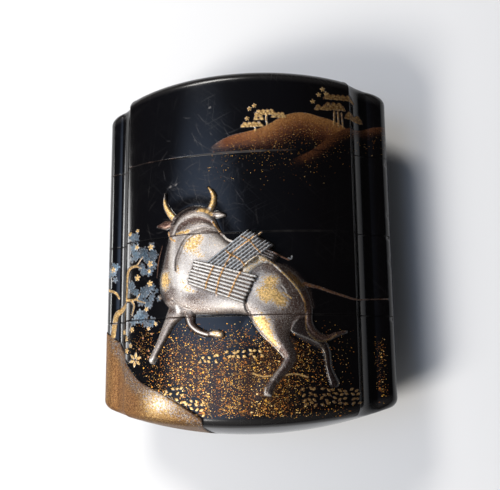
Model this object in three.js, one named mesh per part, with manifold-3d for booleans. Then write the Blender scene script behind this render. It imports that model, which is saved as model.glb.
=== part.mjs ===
// An inro: a small lacquered case of a lid and three stacked boxes, lying on its back.
// X is its width, +Y is its lid end and +Z is the side with the ox in relief. Millimetres.
// Each piece has a thin riser that slides into the socket of the piece above it, so the
// case comes apart by pulling along Y. Two cord channels run through all four pieces.
// The origin is below the middle of the case, on the surface that it lies on.

import * as THREE from 'three';
import { mergeVertices } from 'three/addons/utils/BufferGeometryUtils.js';
import Module from 'manifold-3d';

const wasm = await Module();
wasm.setup();

// Section of the case: two arched faces, a hollow cove beside each edge, and two round runners
const caseWidth = 62;
const faceWidth = 48;
const faceCrown = 13.35;
const faceEdge = 7.6;
const runnerWidth = 3.8;
const runnerThickness = 6.2;
const coveHollow = 0.7;
const restFlatWidth = 7;

// Lengths of the pieces along the runners, from the lid down
const lidLength = 13.6;
const upperLength = 16.7;
const middleLength = 16.6;
const bottomLength = 17.6;

// Domed ends
const endRise = 5.75;
const endFall = 2.3;
const endRound = 1.4;

// Walls and fits
const rimWall = 1.05;
const fitClearance = 0.3;
const riserWall = 0.9;
const riserLength = 5;
const floorThickness = 1.6;
const endWall = 2.4;
const seamGap = 0.3;
const socketCorner = 3.2;
const hollowRound = 1;

// Cord channels through the runners
const channelDiameter = 2.6;
const channelInset = 3.5;
const channelWeb = 2.4;

// Relief on the front face: an ox that carries bundles of brushwood, and a low bank
const oxLeftMargin = 6.3;
const oxRightMargin = 2.5;
const reliefPitch = 0.85;
const bundleBevel = 0.6;
const bankLength = 19;
const bankHeight = 12.3;
const bankRise = 0.4;
const bankBevel = 0.5;
const bankHollow = 1.5;

// How finely the curves are cut, and how closely a turn is searched for
const archSteps = 8;
const coveSteps = 3;
const runnerSteps = 4;
const roundSteps = 3;
const domeSteps = 3;
const cornerSteps = 3;
const channelSides = 16;
const curveSteps = 20;
const turnTolerance = 1e-9;

// Places worked out from the sizes above
const halfWidth = caseWidth / 2;
const halfFace = faceWidth / 2;
const sideLength = lidLength + upperLength + middleLength + bottomLength;
const sideTop = sideLength / 2;
const lidSeam = sideTop - lidLength;
const upperSeam = lidSeam - upperLength;
const lowerSeam = upperSeam - middleLength;
const faceSpan = halfFace / Math.sqrt(1 - (faceEdge / faceCrown) ** 2);
const faceTurn = Math.asin(halfFace / faceSpan);
const restTurn = Math.asin(restFlatWidth / 2 / faceSpan);
const restHeight = faceCrown * Math.cos(restTurn);
const channelX = halfWidth - channelInset;
const socketHalf = channelX - channelDiameter / 2 - channelWeb;
const socketDepth = riserLength + fitClearance;
const riserCorner = socketCorner - fitClearance;
const hollowCorner = riserCorner - riserWall;
const pastEnd = sideTop + endRise + endWall;

// Height of a face's arch over the centre plane: an ellipse, level past the face's edges
function faceHeight(x) {
  const inside = Math.min(Math.abs(x), halfFace);
  return faceCrown * Math.sqrt(1 - (inside / faceSpan) ** 2);
}

// Distance of the domed end from the middle: it falls with the squares of width and depth
function endHeight(x, z) {
  return sideTop + endRise * (1 - (x / halfWidth) ** 2) - endFall * (z / faceCrown) ** 2;
}

// A quarter of the section, from the arch at the given turn out to the runner's tip
function sectionQuarter(startTurn, steps) {
  const points = [];
  for (let step = 0; step < steps; step += 1) {
    const turn = startTurn + (faceTurn - startTurn) * step / steps;
    points.push([faceSpan * Math.sin(turn), faceCrown * Math.cos(turn)]);
  }
  const runnerStart = halfWidth - runnerWidth;
  const runnerHalf = runnerThickness / 2;
  const cove = new THREE.QuadraticBezierCurve(
    new THREE.Vector2(halfFace, faceEdge),
    new THREE.Vector2((halfFace + runnerStart - coveHollow) / 2, (faceEdge + runnerHalf - coveHollow) / 2),
    new THREE.Vector2(runnerStart, runnerHalf),
  );
  for (const point of cove.getPoints(coveSteps).slice(0, -1)) {
    points.push([point.x, point.y]);
  }
  for (let step = 0; step <= runnerSteps; step += 1) {
    const turn = Math.PI / 2 * step / runnerSteps;
    points.push([runnerStart + runnerWidth * Math.sin(turn), runnerHalf * Math.cos(turn)]);
  }
  return points;
}

// The whole outer section from the right runner's tip over the front, with the flat in the
// back; the front's arch is cut as finely as its relief needs
function outerSection(frontSteps) {
  const front = sectionQuarter(0, frontSteps);
  const back = sectionQuarter(restTurn, archSteps);
  return [
    ...front.toReversed(),
    ...front.slice(1).map(([x, z]) => [-x, z]),
    ...back.slice(0, -1).toReversed().map(([x, z]) => [-x, -z]),
    ...back.slice(0, -1).map(([x, z]) => [x, -z]),
  ];
}

// The outer section drawn in by a distance at each point, for the round edge of an end
function drawnIn(section, distance) {
  return section.map(([x, z], index) => {
    const before = section.at(index - 1);
    const after = section[(index + 1) % section.length];
    const along = new THREE.Vector2(after[0] - before[0], after[1] - before[1]).normalize();
    return [x - distance * along.y, z + distance * along.x];
  });
}

// A pocket's section: a curve inside the arch, widened all round by the corner radius, so
// that sockets, risers and hollows are even offsets of each other
function pocketSection(corner) {
  const coreInset = rimWall + socketCorner;
  const coreAt = (turn) => {
    const slope = new THREE.Vector2(Math.sin(turn) / faceSpan, Math.cos(turn) / faceCrown);
    const normal = slope.normalize();
    const x = faceSpan * Math.sin(turn) - coreInset * normal.x;
    const z = faceCrown * Math.cos(turn) - coreInset * normal.y;
    return { x, z, normal };
  };
  let low = 0;
  let high = faceTurn;
  while (high - low > turnTolerance) {
    const turn = (low + high) / 2;
    if (coreAt(turn).x < socketHalf - socketCorner) {
      low = turn;
    } else {
      high = turn;
    }
  }
  const quarter = [];
  for (let step = 0; step < archSteps; step += 1) {
    const core = coreAt(low * step / archSteps);
    quarter.push([core.x + corner * core.normal.x, core.z + corner * core.normal.y]);
  }
  const last = coreAt(low);
  const lastTurn = Math.atan2(last.normal.y, last.normal.x);
  for (let step = 0; step <= cornerSteps; step += 1) {
    const turn = lastTurn * (1 - step / cornerSteps);
    quarter.push([last.x + corner * Math.cos(turn), last.z + corner * Math.sin(turn)]);
  }
  return [
    ...quarter.toReversed(),
    ...quarter.slice(1).map(([x, z]) => [-x, z]),
    ...quarter.toReversed().map(([x, z]) => [-x, -z]),
    ...quarter.slice(1).map(([x, z]) => [x, -z]),
  ];
}

function toSolid(geometry) {
  geometry.deleteAttribute('normal');
  geometry.deleteAttribute('uv');
  const merged = mergeVertices(geometry);
  return new wasm.Manifold(new wasm.Mesh({
    numProp: 3,
    vertProperties: new Float32Array(merged.attributes.position.array),
    triVerts: new Uint32Array(merged.index.array),
  }));
}

// A skin that is built up from rings of points along +Y, each running from +X round to +Z
class Skin {
  points = [];

  triangles = [];

  addPoints(points) {
    const first = this.points.length;
    this.points.push(...points);
    return points.map((point, index) => first + index);
  }

  // The band between two rings with the same number of points
  addBand(lower, upper) {
    lower.forEach((corner, index) => {
      const next = (index + 1) % lower.length;
      this.triangles.push(corner, upper[index], lower[next]);
      this.triangles.push(lower[next], upper[index], upper[next]);
    });
  }

  // The strip between two columns of points, which may have points at different heights
  addStrip(column, nextColumn) {
    let here = 0;
    let there = 0;
    while (here < column.length - 1 || there < nextColumn.length - 1) {
      const hereUp = column[here + 1];
      const thereUp = nextColumn[there + 1];
      const climbsHere = thereUp === undefined
        || (hereUp !== undefined && this.points[hereUp].y <= this.points[thereUp].y);
      if (climbsHere) {
        this.triangles.push(column[here], hereUp, nextColumn[there]);
        here += 1;
      } else {
        this.triangles.push(nextColumn[there], column[here], thereUp);
        there += 1;
      }
    }
  }

  // A fan that closes an end ring
  addEnd(ring, isUpper) {
    const sum = ring.reduce((total, corner) => total.add(this.points[corner]), new THREE.Vector3());
    const [middle] = this.addPoints([sum.divideScalar(ring.length)]);
    ring.forEach((corner, index) => {
      const next = ring[(index + 1) % ring.length];
      this.triangles.push(middle, isUpper ? next : corner, isUpper ? corner : next);
    });
  }

  toSolid() {
    const geometry = new THREE.BufferGeometry().setFromPoints(this.points);
    geometry.setIndex(this.triangles);
    return toSolid(geometry);
  }
}

// A closed skin over a row of rings
function loft(rings) {
  const skin = new Skin();
  const placed = rings.map((ring) => skin.addPoints(ring));
  placed.slice(1).forEach((ring, index) => skin.addBand(placed[index], ring));
  skin.addEnd(placed[0], false);
  skin.addEnd(placed.at(-1), true);
  return skin.toSolid();
}

// A section placed at a height along Y, which may be a number or a function of the place
function ringAt(section, height) {
  return section.map(([x, z]) => {
    const y = typeof height === 'number' ? height : height(x, z);
    return new THREE.Vector3(x, y, z);
  });
}

function prism(section, from, to) {
  return loft([ringAt(section, from), ringAt(section, to)]);
}

// Rings of a section shrunk step by step towards the axis, on the dome of an end
function domeRings(section, height) {
  const rings = [];
  for (let step = 1; step <= domeSteps; step += 1) {
    const share = 1 - step / (domeSteps + 1);
    rings.push(ringAt(section.map(([x, z]) => [x * share, z * share]), height));
  }
  return rings;
}

// Rings from a straight wall over a rounded edge on to the dome; end is 1 for the lid end
// and -1 for the bottom, and inset is how far the surface lies inside the outer end
function endRings(sectionDrawnIn, round, end, inset) {
  const rings = [];
  for (let step = 0; step <= roundSteps; step += 1) {
    const turn = Math.PI / 2 * step / roundSteps;
    const fall = round * (1 - Math.sin(turn)) + inset;
    const section = sectionDrawnIn(round * (1 - Math.cos(turn)));
    rings.push(ringAt(section, (x, z) => end * (endHeight(x, z) - fall)));
  }
  const dome = domeRings(sectionDrawnIn(round), (x, z) => end * (endHeight(x, z) - inset));
  return [...rings, ...dome];
}

const plainSection = outerSection(archSteps);
const carvedSection = outerSection(Math.ceil(halfFace / reliefPitch));
const socketSection = pocketSection(socketCorner);
const riserSection = pocketSection(riserCorner);
const hollowSection = pocketSection(hollowCorner);
const hollowDrawnIn = (distance) => pocketSection(hollowCorner - distance);

// The socket starts below the rim, so that the cut leaves no skin over its mouth
function socketAbove(rim) {
  return prism(socketSection, rim - fitClearance, rim + socketDepth);
}

// The riser starts as deep in its piece as it stands out of it
function riserAbove(rim) {
  return prism(riserSection, rim - riserLength, rim + riserLength);
}

function channels() {
  const pair = [-channelX, channelX].map((x) => {
    const radius = channelDiameter / 2;
    const geometry = new THREE.CylinderGeometry(radius, radius, 2 * pastEnd, channelSides);
    geometry.translate(x, 0, 0);
    return toSolid(geometry);
  });
  return pair[0].add(pair[1]);
}

// The ox is drawn on the face at this length, from its forward hoof to the tip of its tail,
// in millimetres from the middle of the face, and fills the face between its two margins
const oxDrawnLength = 39.2;
const oxDrawnMiddle = 1.9;
const oxScale = (faceWidth - oxLeftMargin - oxRightMargin) / oxDrawnLength;
const oxMiddle = (oxLeftMargin - oxRightMargin) / 2;

// A soft swelling with an oval outline
function swelling({ at, half, turn = 0, rise }) {
  const angle = THREE.MathUtils.degToRad(turn);
  const centre = new THREE.Vector2(...at);
  return (point) => {
    const local = point.clone().sub(centre).rotateAround(new THREE.Vector2(), -angle);
    const reach = Math.hypot(local.x / half[0], local.y / half[1]);
    return rise * Math.sqrt(Math.max(0, 1 - reach ** 2));
  };
}

// A limb along a smooth curve, with a round back that is as high as the limb is wide, up to
// the given rise; the half widths run evenly from the curve's first point to its last
function limb({ through, halfWidths, rise }) {
  const curve = new THREE.SplineCurve(through.map((point) => new THREE.Vector2(...point)));
  const spots = curve.getPoints(curveSteps);
  const halfAt = (share) => {
    const along = share * (halfWidths.length - 1);
    const before = Math.min(Math.floor(along), halfWidths.length - 2);
    return THREE.MathUtils.lerp(halfWidths[before], halfWidths[before + 1], along - before);
  };
  return (point) => {
    let height = 0;
    for (let step = 0; step < curveSteps; step += 1) {
      const stretch = spots[step + 1].clone().sub(spots[step]);
      const toPoint = point.clone().sub(spots[step]);
      const part = THREE.MathUtils.clamp(toPoint.dot(stretch) / stretch.lengthSq(), 0, 1);
      const distance = toPoint.sub(stretch.multiplyScalar(part)).length();
      const half = halfAt((step + part) / curveSteps);
      const roundness = Math.sqrt(Math.max(0, 1 - (distance / half) ** 2));
      height = Math.max(height, Math.min(rise, half) * roundness);
    }
    return height;
  };
}

// A bundle of sticks: a level block with sloping sides, at a turn
function bundle({ at, length, width, turn, rise }) {
  const angle = THREE.MathUtils.degToRad(turn);
  const centre = new THREE.Vector2(...at);
  return (point) => {
    const local = point.clone().sub(centre).rotateAround(new THREE.Vector2(), -angle);
    const inside = Math.min(length / 2 - Math.abs(local.x), width / 2 - Math.abs(local.y));
    return rise * THREE.MathUtils.clamp(inside / bundleBevel, 0, 1);
  };
}

// The ox, seen from behind its shoulder as it walks away to the left
const oxForms = [
  swelling({ at: [-8.2, -5], half: [7.1, 9.4], turn: 6, rise: 1.45 }),
  swelling({ at: [-2, -8.4], half: [10.5, 5.9], turn: -3, rise: 1.35 }),
  swelling({ at: [8.6, -10.6], half: [6.6, 6.9], turn: -20, rise: 1.5 }),
  swelling({ at: [-7.8, 2.6], half: [5.4, 5.1], rise: 1.35 }),
  swelling({ at: [-14.3, 4.4], half: [2.2, 1.1], turn: -4, rise: 0.7 }),
  swelling({ at: [-2.5, 5.6], half: [2, 1], turn: 4, rise: 0.7 }),
  limb({
    through: [[-12, 5.6], [-13.7, 7.6], [-14.5, 9.5], [-14.2, 11.2]],
    halfWidths: [1, 0.8, 0.4],
    rise: 0.8,
  }),
  limb({
    through: [[-4.8, 6.6], [-3.6, 8.2], [-3.5, 9.9], [-4.5, 11.4]],
    halfWidths: [1, 0.8, 0.4],
    rise: 0.8,
  }),
  limb({
    through: [[-10.8, -12], [-12.8, -16.6], [-15, -20.2], [-17.2, -23.6]],
    halfWidths: [2.4, 1.3, 0.9, 0.8],
    rise: 0.9,
  }),
  limb({
    through: [[-8.3, -13], [-8.3, -16.2], [-5.6, -18.2], [-2.2, -18.4]],
    halfWidths: [1.5, 1, 0.8, 0.9],
    rise: 0.8,
  }),
  limb({
    through: [[8, -12.5], [8.7, -17], [11, -22.6], [9, -26.2], [6.9, -30]],
    halfWidths: [5.4, 3.3, 1.3, 0.9, 0.8],
    rise: 1.1,
  }),
  limb({
    through: [[13.2, -13.5], [13.5, -17.2], [17.2, -20], [18, -24.6], [19.8, -28.4]],
    halfWidths: [2.2, 1.7, 1.2, 0.8, 0.9],
    rise: 0.7,
  }),
  limb({
    through: [[14, -9.6], [14.7, -13.4], [14.9, -17.4], [17.4, -19.4], [21.4, -18]],
    halfWidths: [0.7, 0.7, 0.5],
    rise: 0.6,
  }),
  bundle({ at: [1, -2.3], length: 10.6, width: 5.9, turn: 33.5, rise: 1.8 }),
  bundle({ at: [8.3, -3.2], length: 4.8, width: 2.6, turn: -32, rise: 1.7 }),
  bundle({ at: [-1.8, -8.1], length: 12.6, width: 5.1, turn: -17, rise: 2.1 }),
];

// The bank: a low step in the lower left of the face, whose upper edge falls to the right
function bankHeightAt(x, y) {
  const share = (x + halfFace) / bankLength;
  const foot = endRound - endHeight(x, faceHeight(x));
  const edge = share < 1 ? foot + bankHeight * (1 - share) ** bankHollow : foot;
  return bankRise * THREE.MathUtils.clamp((edge - y) / bankBevel, 0, 1);
}

// Height of the relief over the front face, which is nothing at the face's edges and past them
function reliefHeight(x, y) {
  if (Math.abs(x) >= halfFace) {
    return 0;
  }
  const point = new THREE.Vector2(oxDrawnMiddle + (x - oxMiddle) / oxScale, y / oxScale);
  return Math.max(bankHeightAt(x, y), ...oxForms.map((form) => form(point)));
}

// The front wall's points on the arch, where the relief can rise
function isCarved([x, z]) {
  return z > 0 && Math.abs(x) < halfFace;
}

// The carved outer wall between two heights. Each point of the section becomes a column,
// which has points in between only where the relief rises on it or beside it.
// The end rings below the wall, if there are any, close it with a dome.
function carvedWall(from, to, domed = []) {
  const rows = Math.ceil((to - from) / reliefPitch);
  const heightOf = (row) => from + (to - from) * row / rows;
  const lifts = carvedSection.map(([x, z]) => {
    const column = [];
    for (let row = 0; row <= rows; row += 1) {
      column.push(isCarved([x, z]) ? reliefHeight(x, heightOf(row)) : 0);
    }
    return column;
  });
  const skin = new Skin();
  const columns = carvedSection.map(([x, z], index) => {
    const near = [lifts.at(index - 1), lifts[index], lifts[(index + 1) % lifts.length]];
    const column = [];
    for (let row = 0; row <= rows; row += 1) {
      const isRaised = near.some((lift) => Math.max(...lift.slice(Math.max(row - 1, 0), row + 2)) > 0);
      if (row === 0 || row === rows || isRaised) {
        column.push(new THREE.Vector3(x, heightOf(row), z + lifts[index][row]));
      }
    }
    return skin.addPoints(column);
  });
  columns.forEach((column, index) => skin.addStrip(column, columns[(index + 1) % columns.length]));
  let lowest = columns.map((column) => column[0]);
  for (const ring of domed) {
    const placed = skin.addPoints(ring);
    skin.addBand(placed, lowest);
    lowest = placed;
  }
  skin.addEnd(lowest, false);
  skin.addEnd(columns.map((column) => column.at(-1)), true);
  return skin.toSolid();
}

const cordChannels = channels();
const halfGap = seamGap / 2;

// A middle box: the carved outer wall and the riser, less the socket and the hollow
function stackedCase(from, to) {
  const wall = carvedWall(from + halfGap, to - halfGap);
  const hollow = prism(hollowSection, from + socketDepth + floorThickness, to + 2 * riserLength);
  return wall.add(riserAbove(to)).subtract(socketAbove(from)).subtract(hollow).subtract(cordChannels);
}

function lid() {
  const drawIn = (distance) => drawnIn(plainSection, distance);
  const wall = loft([ringAt(plainSection, lidSeam + halfGap), ...endRings(drawIn, endRound, 1, 0)]);
  const hollowEnd = endRings(hollowDrawnIn, hollowRound, 1, endWall);
  const hollow = loft([ringAt(hollowSection, lidSeam), ...hollowEnd]);
  return wall.subtract(socketAbove(lidSeam)).subtract(hollow).subtract(cordChannels);
}

// The bottom box: its carved wall ends where the round edge of the end begins
function bottomCase() {
  const drawIn = (distance) => drawnIn(carvedSection, distance);
  const [wallEnd, ...domed] = endRings(drawIn, endRound, -1, 0);
  const carvedEnd = wallEnd.map((point) => {
    const lift = isCarved([point.x, point.z]) ? reliefHeight(point.x, point.y) : 0;
    return point.setZ(point.z + lift);
  });
  const wall = carvedWall(endRound - sideTop, lowerSeam - halfGap, [carvedEnd, ...domed]);
  const hollowEnd = endRings(hollowDrawnIn, hollowRound, -1, endWall);
  const hollow = loft([...hollowEnd.toReversed(), ringAt(hollowSection, lowerSeam + 2 * riserLength)]);
  return wall.add(riserAbove(lowerSeam)).subtract(hollow).subtract(cordChannels);
}

const lacquer = new THREE.MeshStandardMaterial({ color: 0x15151b, roughness: 0.16, metalness: 0 });

function namedPiece(name, solid) {
  const mesh = solid.getMesh();
  const geometry = new THREE.BufferGeometry();
  geometry.setAttribute('position', new THREE.BufferAttribute(mesh.vertProperties, 3));
  geometry.setIndex(new THREE.BufferAttribute(mesh.triVerts, 1));
  geometry.computeVertexNormals();
  const piece = new THREE.Mesh(geometry, lacquer);
  piece.name = name;
  return piece;
}

const inro = new THREE.Group();
inro.position.z = restHeight;
inro.add(namedPiece('lid', lid()));
inro.add(namedPiece('upper_case', stackedCase(upperSeam, lidSeam)));
inro.add(namedPiece('middle_case', stackedCase(lowerSeam, upperSeam)));
inro.add(namedPiece('bottom_case', bottomCase()));

export default inro;
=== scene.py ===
import bpy
import numpy as np
from bpy.props import FloatProperty, FloatVectorProperty, PointerProperty
from mathutils import Matrix, Vector


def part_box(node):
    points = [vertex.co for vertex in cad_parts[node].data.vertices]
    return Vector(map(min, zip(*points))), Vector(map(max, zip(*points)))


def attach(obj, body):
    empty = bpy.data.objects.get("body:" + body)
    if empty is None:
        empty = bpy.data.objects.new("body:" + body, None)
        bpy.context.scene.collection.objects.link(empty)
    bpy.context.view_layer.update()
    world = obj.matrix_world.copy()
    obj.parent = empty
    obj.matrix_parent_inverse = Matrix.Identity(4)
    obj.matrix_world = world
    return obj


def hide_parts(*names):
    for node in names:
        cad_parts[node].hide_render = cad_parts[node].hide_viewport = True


bl_info = {
    "name": "Lacquered inro case",
    "version": (1, 0, 0),
    "blender": (4, 5, 0),
    "location": "3D Viewport > Sidebar > Inro",
    "description": "Dresses the packed inro case in black lacquer with a sprinkled relief picture",
    "category": "Object",
}

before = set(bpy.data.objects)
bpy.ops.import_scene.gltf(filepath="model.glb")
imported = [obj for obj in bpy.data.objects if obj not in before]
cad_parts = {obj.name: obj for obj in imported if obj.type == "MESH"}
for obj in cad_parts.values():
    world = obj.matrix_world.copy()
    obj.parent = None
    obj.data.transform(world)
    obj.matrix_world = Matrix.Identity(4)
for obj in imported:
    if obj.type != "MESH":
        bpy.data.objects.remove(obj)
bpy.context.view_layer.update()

# Shapes are worked out in millimetres from the middle of the case: X is its width, +Y is its
# lid end and +Z is the side with the picture. Meshes are in metres, on the surface it lies on.
MM = 0.001

# Section of the case: two arched faces, a hollow cove beside each edge, and two round runners
CASE_WIDTH = 62.0
FACE_WIDTH = 48.0
FACE_CROWN = 13.35
FACE_EDGE = 7.6
RUNNER_WIDTH = 3.8
RUNNER_THICKNESS = 6.2
COVE_HOLLOW = 2.0
REST_FLAT_WIDTH = 7.0

# Domed ends, and the lid's length along the runners
LID_LENGTH = 13.6
END_RISE = 5.75
END_FALL = 2.3
END_ROUND = 1.4

# Walls and fits
RIM_WALL = 1.05
FIT_CLEARANCE = 0.3
RISER_WALL = 0.9
RISER_LENGTH = 5.0
FLOOR_THICKNESS = 1.6
END_WALL = 2.4
CAD_SEAM_GAP = 0.3
SOCKET_CORNER = 3.2
HOLLOW_ROUND = 1.0

# Cord channels through the runners
CHANNEL_DIAMETER = 2.6
CHANNEL_INSET = 3.5
CHANNEL_WEB = 2.4

# How finely each part of the section is cut, on the front and on the back
FRONT_ARCH_STEPS = 165
FRONT_COVE_STEPS = 34
FRONT_RUNNER_STEPS = 26
BACK_ARCH_STEPS = 20
BACK_COVE_STEPS = 6
BACK_RUNNER_STEPS = 8
PROBE_STEPS = 4000
RIM_STEPS = 3
END_ROUND_STEPS = 7
DOME_STEPS = 14
POCKET_STEPS = 20
CORNER_STEPS = 6
CHANNEL_SIDES = 32
CURVE_STEPS = 8

# Places worked out from the sizes above
HALF_WIDTH = CASE_WIDTH / 2
HALF_FACE = FACE_WIDTH / 2
FACE_SPAN = HALF_FACE / np.sqrt(1 - (FACE_EDGE / FACE_CROWN) ** 2)
FACE_TURN = np.arcsin(HALF_FACE / FACE_SPAN)
REST_TURN = np.arcsin(REST_FLAT_WIDTH / 2 / FACE_SPAN)
REST_HEIGHT = FACE_CROWN * np.cos(REST_TURN)
CHANNEL_X = HALF_WIDTH - CHANNEL_INSET
SOCKET_HALF = CHANNEL_X - CHANNEL_DIAMETER / 2 - CHANNEL_WEB
SOCKET_DEPTH = RISER_LENGTH + FIT_CLEARANCE
RISER_CORNER = SOCKET_CORNER - FIT_CLEARANCE
HOLLOW_CORNER = RISER_CORNER - RISER_WALL


def seam_below(node):
    """Height of the seam under a node: its lowest point, less half of the solids' seam gap."""
    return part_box(node)[0].y / MM - CAD_SEAM_GAP / 2


LID_SEAM = seam_below("lid")
UPPER_SEAM = seam_below("upper_case")
LOWER_SEAM = seam_below("middle_case")
SIDE_TOP = LID_SEAM + LID_LENGTH

# Places of the two lacquers in a piece's list of materials
OUTSIDE = 0
INSIDE = 1

# The layers of the picture, each kept as an attribute from 0 to 1 on the mesh
# The tone layer is painted light and shade: it moves each powder from its shaded colour to its lit
# one.
LAYERS = ("cover", "tone", "gold", "leaf", "rust", "flakes", "dust", "wear")
EVERYWHERE = slice(None)

# Widths in which a brush stroke's edge and a wide area's edge fade out
BRUSH_SOFT = 0.12
EDGE_SOFT = 0.2

# Faces that meet at a wider angle than this, in degrees, keep a sharp edge
SHARP_ANGLE = 62


def length_property(name, description, default, low, high):
    """A length that a user can change, given in millimetres."""
    return FloatProperty(
        name=name,
        description=description,
        default=default * MM,
        min=low * MM,
        max=high * MM,
        subtype="DISTANCE",
        unit="LENGTH",
        precision=5,
    )


class InroSizes(bpy.types.PropertyGroup):
    """Sizes of the meshes, the seams and the relief"""

    grid_pitch: length_property(
        "Grid pitch", "Distance between the rows of points on the decorated walls", 0.16, 0.1, 1.0
    )
    seam_gap: length_property(
        "Seam gap", "Width of the line that shows between two boxes", 0.07, 0.02, CAD_SEAM_GAP
    )
    rim_round: length_property(
        "Rim round", "Radius of the rounded rims beside a seam", 0.09, 0.05, 0.5
    )
    relief: FloatProperty(
        name="Relief",
        description="Height of the picture's relief, as a share of its full height",
        default=1.0,
        min=0.0,
        max=1.0,
        subtype="FACTOR",
    )


def colour_property(name, description, default):
    """A linear colour that a user can change."""
    return FloatVectorProperty(
        name=name, description=description, default=default, size=3, min=0, max=1, subtype="COLOR"
    )


class InroFinish(bpy.types.PropertyGroup):
    """Colours of the lacquers, the powders and the floor"""

    lacquer: colour_property("Lacquer", "Black lacquer of the ground", (0.0016, 0.0013, 0.0016))
    worn: colour_property("Worn lacquer", "Rubbed lacquer at the rims", (0.16, 0.145, 0.135))
    inside: colour_property("Inside", "Brown lacquer inside the boxes", (0.055, 0.018, 0.008))
    # Each powder has a lit colour and a shaded one, mixed by the tone layer: painted light and painted
    # shade.
    silver: colour_property("Silver", "Silver powder in the light", (0.72, 0.67, 0.61))
    shade: colour_property("Shade", "Brown powder in the shaded parts", (0.058, 0.031, 0.023))
    gold: colour_property("Gold", "Gold powder in the light", (0.86, 0.57, 0.22))
    dark_gold: colour_property("Dark gold", "Gold powder in the shade", (0.09, 0.035, 0.01))
    leaf: colour_property("Leaf", "Blue-grey powder of the leaves in the light", (0.24, 0.36, 0.46))
    dark_leaf: colour_property("Dark leaf", "Blue-grey powder in the shade", (0.012, 0.02, 0.03))
    rust: colour_property("Rust", "Red-brown powder in the light", (0.48, 0.16, 0.03))
    amber: colour_property("Amber", "Orange gold of the flakes", (0.9, 0.46, 0.07))
    dark_rust: colour_property("Dark rust", "Red-brown powder in the shade", (0.05, 0.014, 0.008))
    floor: colour_property("Floor", "Pale floor", (0.7, 0.695, 0.685))


def light_property(name, description, default, unit="NONE"):
    """The strength of a light that a user can change."""
    return FloatProperty(name=name, description=description, default=default, min=0, unit=unit)


class InroStudio(bpy.types.PropertyGroup):
    """Strengths of the lights and of the room's glows"""

    key_power: light_property(
        "Key light", "Power of the soft light at the upper left", 1.55, "POWER"
    )
    fill_power: light_property(
        "Fill light", "Power of the soft light at the lower left", 2.0, "POWER"
    )
    overhead_glow: light_property("Overhead glow", "Cool glow that the lacquer mirrors", 2.9)
    ceiling_glow: light_property("Ceiling glow", "Wide faint glow round the overhead one", 0.11)
    front_glow: light_property("Front glow", "Pale glow below the case at the left", 0.5)
    window_glow: light_property("Window glow", "Low bright window at the left", 17.0)
    surround: light_property("Surround", "Even light from all round", 0.03)


def clipped(value):
    """A value kept between 0 and 1."""
    return np.clip(value, 0, 1)


def even_ramp(value, start, end):
    """A share that goes evenly from nothing at the start to one at the end, and stays there."""
    return clipped((value - start) / (end - start))


def soft_edge(inside, width):
    """How much of an area shows near its edge: it rises evenly over a width, to one inside."""
    return clipped(0.5 + inside / width)


def face_height(x):
    """Height of a face's arch over the centre plane: an ellipse, level past the face's edges."""
    inside = np.minimum(np.abs(x), HALF_FACE)
    return FACE_CROWN * np.sqrt(1 - (inside / FACE_SPAN) ** 2)


def end_height(x, z):
    """Height of the domed end, which falls with the squares of width and depth."""
    return SIDE_TOP + END_RISE * (1 - (x / HALF_WIDTH) ** 2) - END_FALL * (z / FACE_CROWN) ** 2


def section_quarter(start_turn, arch_steps, cove_steps, runner_steps):
    """A quarter of the section, from the arch at a turn out to the runner's tip.

    The arch is an ellipse, the cove is a curve of the second degree that is pulled in by the
    hollow, and the runner is a quarter of an ellipse.
    """
    turn = np.linspace(start_turn, FACE_TURN, arch_steps, endpoint=False)
    arch = np.stack([FACE_SPAN * np.sin(turn), FACE_CROWN * np.cos(turn)], axis=1)
    start = np.array([HALF_FACE, FACE_EDGE])
    end = np.array([HALF_WIDTH - RUNNER_WIDTH, RUNNER_THICKNESS / 2])
    middle = (start + end - COVE_HOLLOW) / 2
    share = np.linspace(0, 1, cove_steps, endpoint=False)[:, None]
    cove = (1 - share) ** 2 * start + 2 * share * (1 - share) * middle + share**2 * end
    turn = np.linspace(0, np.pi / 2, runner_steps + 1)
    runner = end * [1, 0] + np.stack(
        [RUNNER_WIDTH * np.sin(turn), RUNNER_THICKNESS / 2 * np.cos(turn)], axis=1
    )
    return np.concatenate([arch, cove, runner])


def outer_section():
    """The closed section from the right runner's tip over the front, with the flat in the back."""
    front = section_quarter(0, FRONT_ARCH_STEPS, FRONT_COVE_STEPS, FRONT_RUNNER_STEPS)
    back = section_quarter(REST_TURN, BACK_ARCH_STEPS, BACK_COVE_STEPS, BACK_RUNNER_STEPS)
    return np.concatenate([
        front[::-1],
        front[1:] * [-1, 1],
        back[-2::-1] * [-1, -1],
        back[:-1] * [1, -1],
    ])


def outward(section):
    """Unit normals of a closed section that runs from +X round to +Z."""
    along = np.roll(section, -1, axis=0) - np.roll(section, 1, axis=0)
    normal = np.stack([along[:, 1], -along[:, 0]], axis=1)
    return normal / np.linalg.norm(normal, axis=1, keepdims=True)


def pocket_core(turn):
    """Points of the curve that lies inside the arch by the wall and the socket's corner."""
    slope = np.stack([np.sin(turn) / FACE_SPAN, np.cos(turn) / FACE_CROWN], axis=-1)
    normal = slope / np.linalg.norm(slope, axis=-1, keepdims=True)
    arch = np.stack([FACE_SPAN * np.sin(turn), FACE_CROWN * np.cos(turn)], axis=-1)
    return arch - (RIM_WALL + SOCKET_CORNER) * normal, normal


def pocket_section(corner):
    """A pocket's closed section: the core curve, widened all round by the corner radius."""
    turns = np.linspace(0, FACE_TURN, PROBE_STEPS)
    last_turn = np.interp(SOCKET_HALF - SOCKET_CORNER, pocket_core(turns)[0][:, 0], turns)
    core, normal = pocket_core(np.linspace(0, last_turn, POCKET_STEPS + 1))
    bend = np.linspace(np.arctan2(normal[-1, 1], normal[-1, 0]), 0, CORNER_STEPS + 1)[1:]
    round_end = core[-1] + corner * np.stack([np.cos(bend), np.sin(bend)], axis=1)
    quarter = np.concatenate([core + corner * normal, round_end])
    return np.concatenate([
        quarter[::-1],
        quarter[1:] * [-1, 1],
        quarter[::-1] * [-1, -1],
        quarter[1:] * [1, -1],
    ])


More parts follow.
